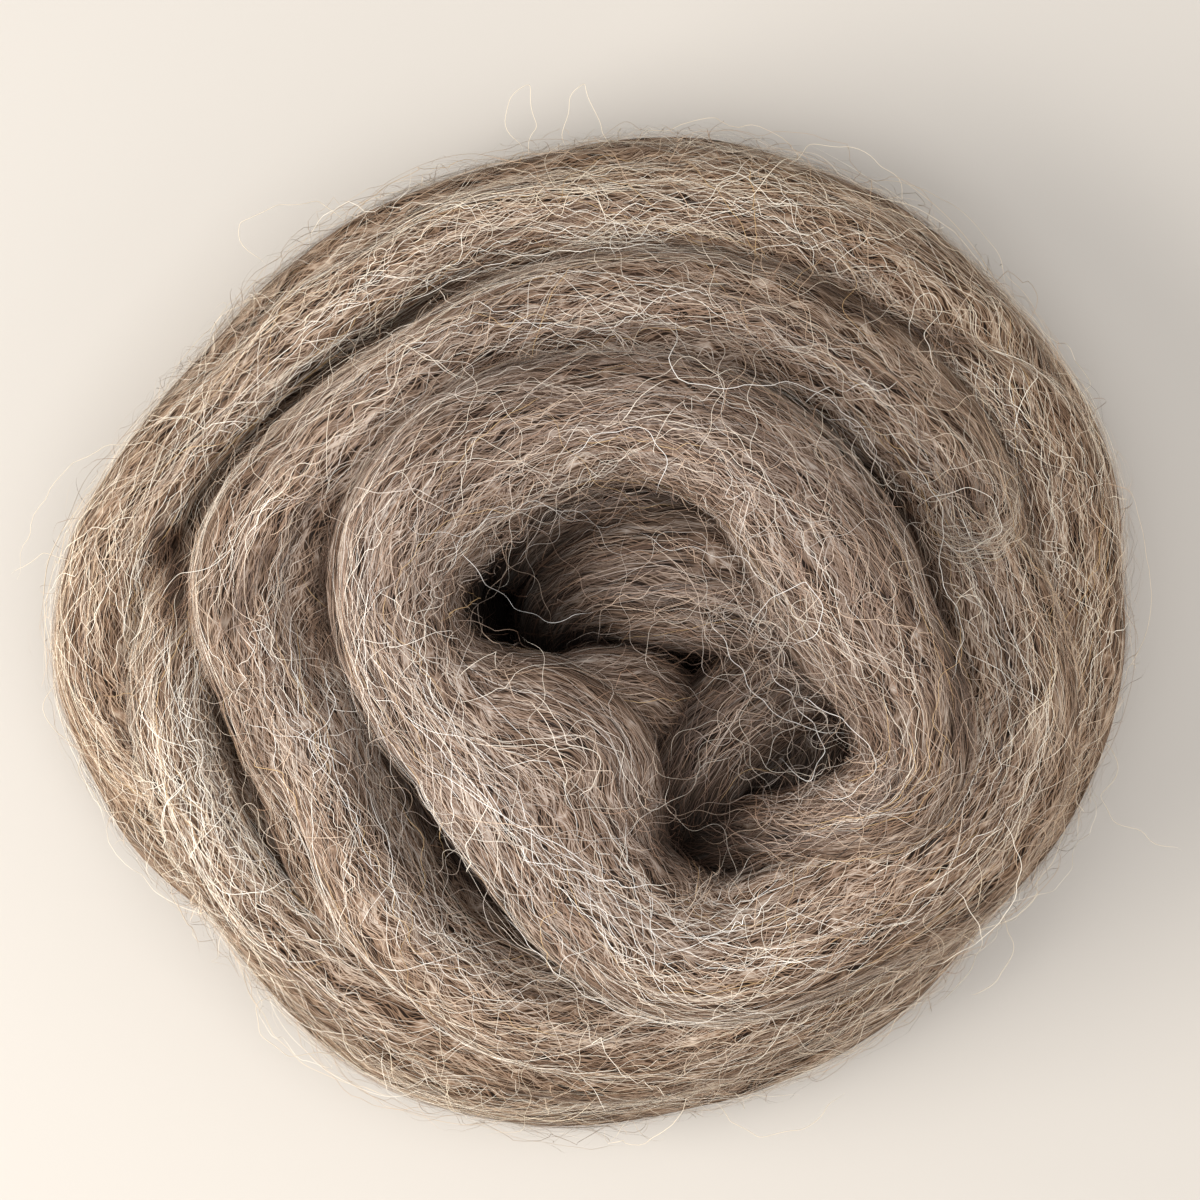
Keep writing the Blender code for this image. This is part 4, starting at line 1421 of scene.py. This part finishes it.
# ------------------------------------------------------------------ stage
@dataclass(frozen=True)
class Studio:
    """A pale floor, soft lights at the left, above and at the right, a pale sky and the camera.

    Each light is its name, place, side, power in watts and colour.
    """

    eye: tuple[float, float, float] = (0.00145, 0.0049, 0.600)
    frame_width: float = 0.186
    sensor_mm: float = 36.0
    floor_half: float = 1.5
    floor_colour: str = "#c3beb7"
    sky_colour: str = "#f3f4f6"
    sky_strength: float = 0.42
    lights: tuple[tuple[str, tuple[float, float, float], float, float, str], ...] = (
        ("window", (-0.62, -0.12, 0.42), 0.5, 7.6, "#fffaf4"),
        ("overhead", (0.05, -0.05, 0.85), 0.7, 4.35, "#ffffff"),
        ("card", (0.7, -0.15, 0.35), 0.6, 2.2, "#fff4ea"),
    )

    def build(self) -> None:
        """Set the floor, lights, sky and camera."""
        scene = bpy.context.scene
        half = self.floor_half
        mesh = bpy.data.meshes.new("studio_floor")
        mesh.from_pydata([(-half, -half, 0), (half, -half, 0), (half, half, 0), (-half, half, 0)],
                         [], [(0, 1, 2, 3)])
        paint, _, shader = new_material("matt_studio_card")
        shader.inputs["Base Color"].default_value = to_linear(self.floor_colour)
        shader.inputs["Roughness"].default_value = 0.9
        mesh.materials.append(paint)
        floor = bpy.data.objects.new("studio_floor", mesh)
        scene.collection.objects.link(floor)
        for light in self.lights:
            self.light(*light)
        world = bpy.data.worlds.new("pale_sky")
        scene.world = world
        world.use_nodes = True
        sky = world.node_tree.nodes["Background"]
        sky.inputs["Color"].default_value = to_linear(self.sky_colour)
        sky.inputs["Strength"].default_value = self.sky_strength
        camera = bpy.data.cameras.new("camera")
        camera.sensor_width = self.sensor_mm
        camera.lens = self.sensor_mm * self.eye[2] / self.frame_width
        camera.clip_start = 0.01
        view = bpy.data.objects.new("camera", camera)
        view.location = self.eye
        scene.collection.objects.link(view)
        scene.camera = view
        scene.view_settings.view_transform = "Standard"

    def light(self, name: str, place: tuple[float, float, float], size: float, power: float,
              colour: str) -> None:
        """Hang one square area light aimed at the middle of the nest.

        Args:
            name: Name of the light.
            place: Where it hangs, in metres.
            size: Length of its side in metres.
            power: Its power in watts.
            colour: Its colour.
        """
        lamp = bpy.data.lights.new(name, "AREA")
        lamp.size = size
        lamp.energy = power
        lamp.color = to_linear(colour)[:3]
        holder = bpy.data.objects.new(name, lamp)
        holder.location = place
        aim = Vector((0.0, 0.0, 0.03)) - Vector(place)
        holder.rotation_euler = aim.to_track_quat("-Z", "Y").to_euler()
        bpy.context.scene.collection.objects.link(holder)


def make_nest() -> Nest:
    """Set out every stretch of the strand.

    Returns:
        The nest, with the wound strand first.
    """
    wound = TOP_LOOP + SLIDE + SECOND_TURN + THIRD_TURN + BASE_RING + LEFT_FOLD
    return Nest([
        Strand("wound", wound, True, 0.4, 3),
        # The share at the end of each of these rows is the shade painted into its wool; the wound strand's
        # comes from the table by turn.
        Strand("inner", INNER_STRAND, False, 2.0, 5, painted_shade_level=0.44),
        Strand("lip", MIDDLE_LIP, False, 0.0, 7, painted_shade_level=0.18),
        Strand("lip_tail", LIP_TAIL, False, 0.8, 8, painted_shade_level=0.30),
        Strand("gap_wool", GAP_WOOL, False, 1.7, 10, tuck=5.0, painted_shade_level=0.5),
        Strand("core", CORE_TURN, True, 0.0, 9, share=0.5, painted_shade_level=0.75),
        Strand("underside", UNDERSIDE, True, 1.1, 11, share=0.25, painted_shade_level=0.6),
    ])


def main() -> None:
    """Build the nest piece by piece, then the stage."""
    logging.basicConfig(level=logging.INFO, format="%(name)s %(message)s")
    less = 1.0
    nest = make_nest()
    cover = HeightField()
    cover.cover([s for s in nest.strands if s.name != "underside"])
    StrandSkin(nest, cover).build(CardedGround().make())
    deep = FleeceFibre("carded_fleece_fibre", FLEECE_MIX).make()
    pale = FleeceFibre("pale_fleece_curl", FLEECE_MIX, 0.45).make()
    coats = (
        (FibreCoat("ground_fibres", Form.RIBBON, 5600, 21, (20, 36), (0.06, 0.10), (0.0, 0.35), (0.12, 0.36),
                   (4, 8), 11.0, (0.0, 0.80), 21, pieces=2, together=0.75), deep),
        (FibreCoat("crimped_fibres", Form.RIBBON, 7200, 31, (16, 32), (0.055, 0.085), (0.15, 0.8),
                   (0.15, 0.46), (3, 7), 18.0, (0.16, 1.0), 22, pieces=3, together=0.6), deep),
        (FibreCoat("top_curls", Form.RIBBON, 1000, 34, (12, 30), (0.06, 0.10), (0.4, 1.1), (0.3, 1.0),
                   (3.5, 9), 34.0, (0.4, 0.9), 23, rise=(0.0, 1.2), wander=1.3), pale),
        (FibreCoat("edge_frizz", Form.RIBBON, 1700, 19, (6, 15), (0.05, 0.08), (0.2, 1.0), (0.3, 0.8),
                   (4, 9), 32.0, (0.2, 0.72), 25, rise=(0.3, 2.8), free_end=0.4, edge=0.92), pale),
        (FibreCoat("edge_loops", Form.TUBE, 190, 34, (16, 38), (0.06, 0.09), (0.2, 0.8), (0.5, 1.6),
                   (6, 14), 30.0, (0.4, 0.85), 24, rise=(0.8, 5.0), free_end=0.35, edge=0.85), pale),
    )
    for coat, finish in coats:
        coat.count = int(coat.count * less)
        coat.build(nest, cover, finish)
    CrossingStrays(cover, int(300 * less)).build(pale)
    Studio().build()


if __name__ == "__main__":
    main()
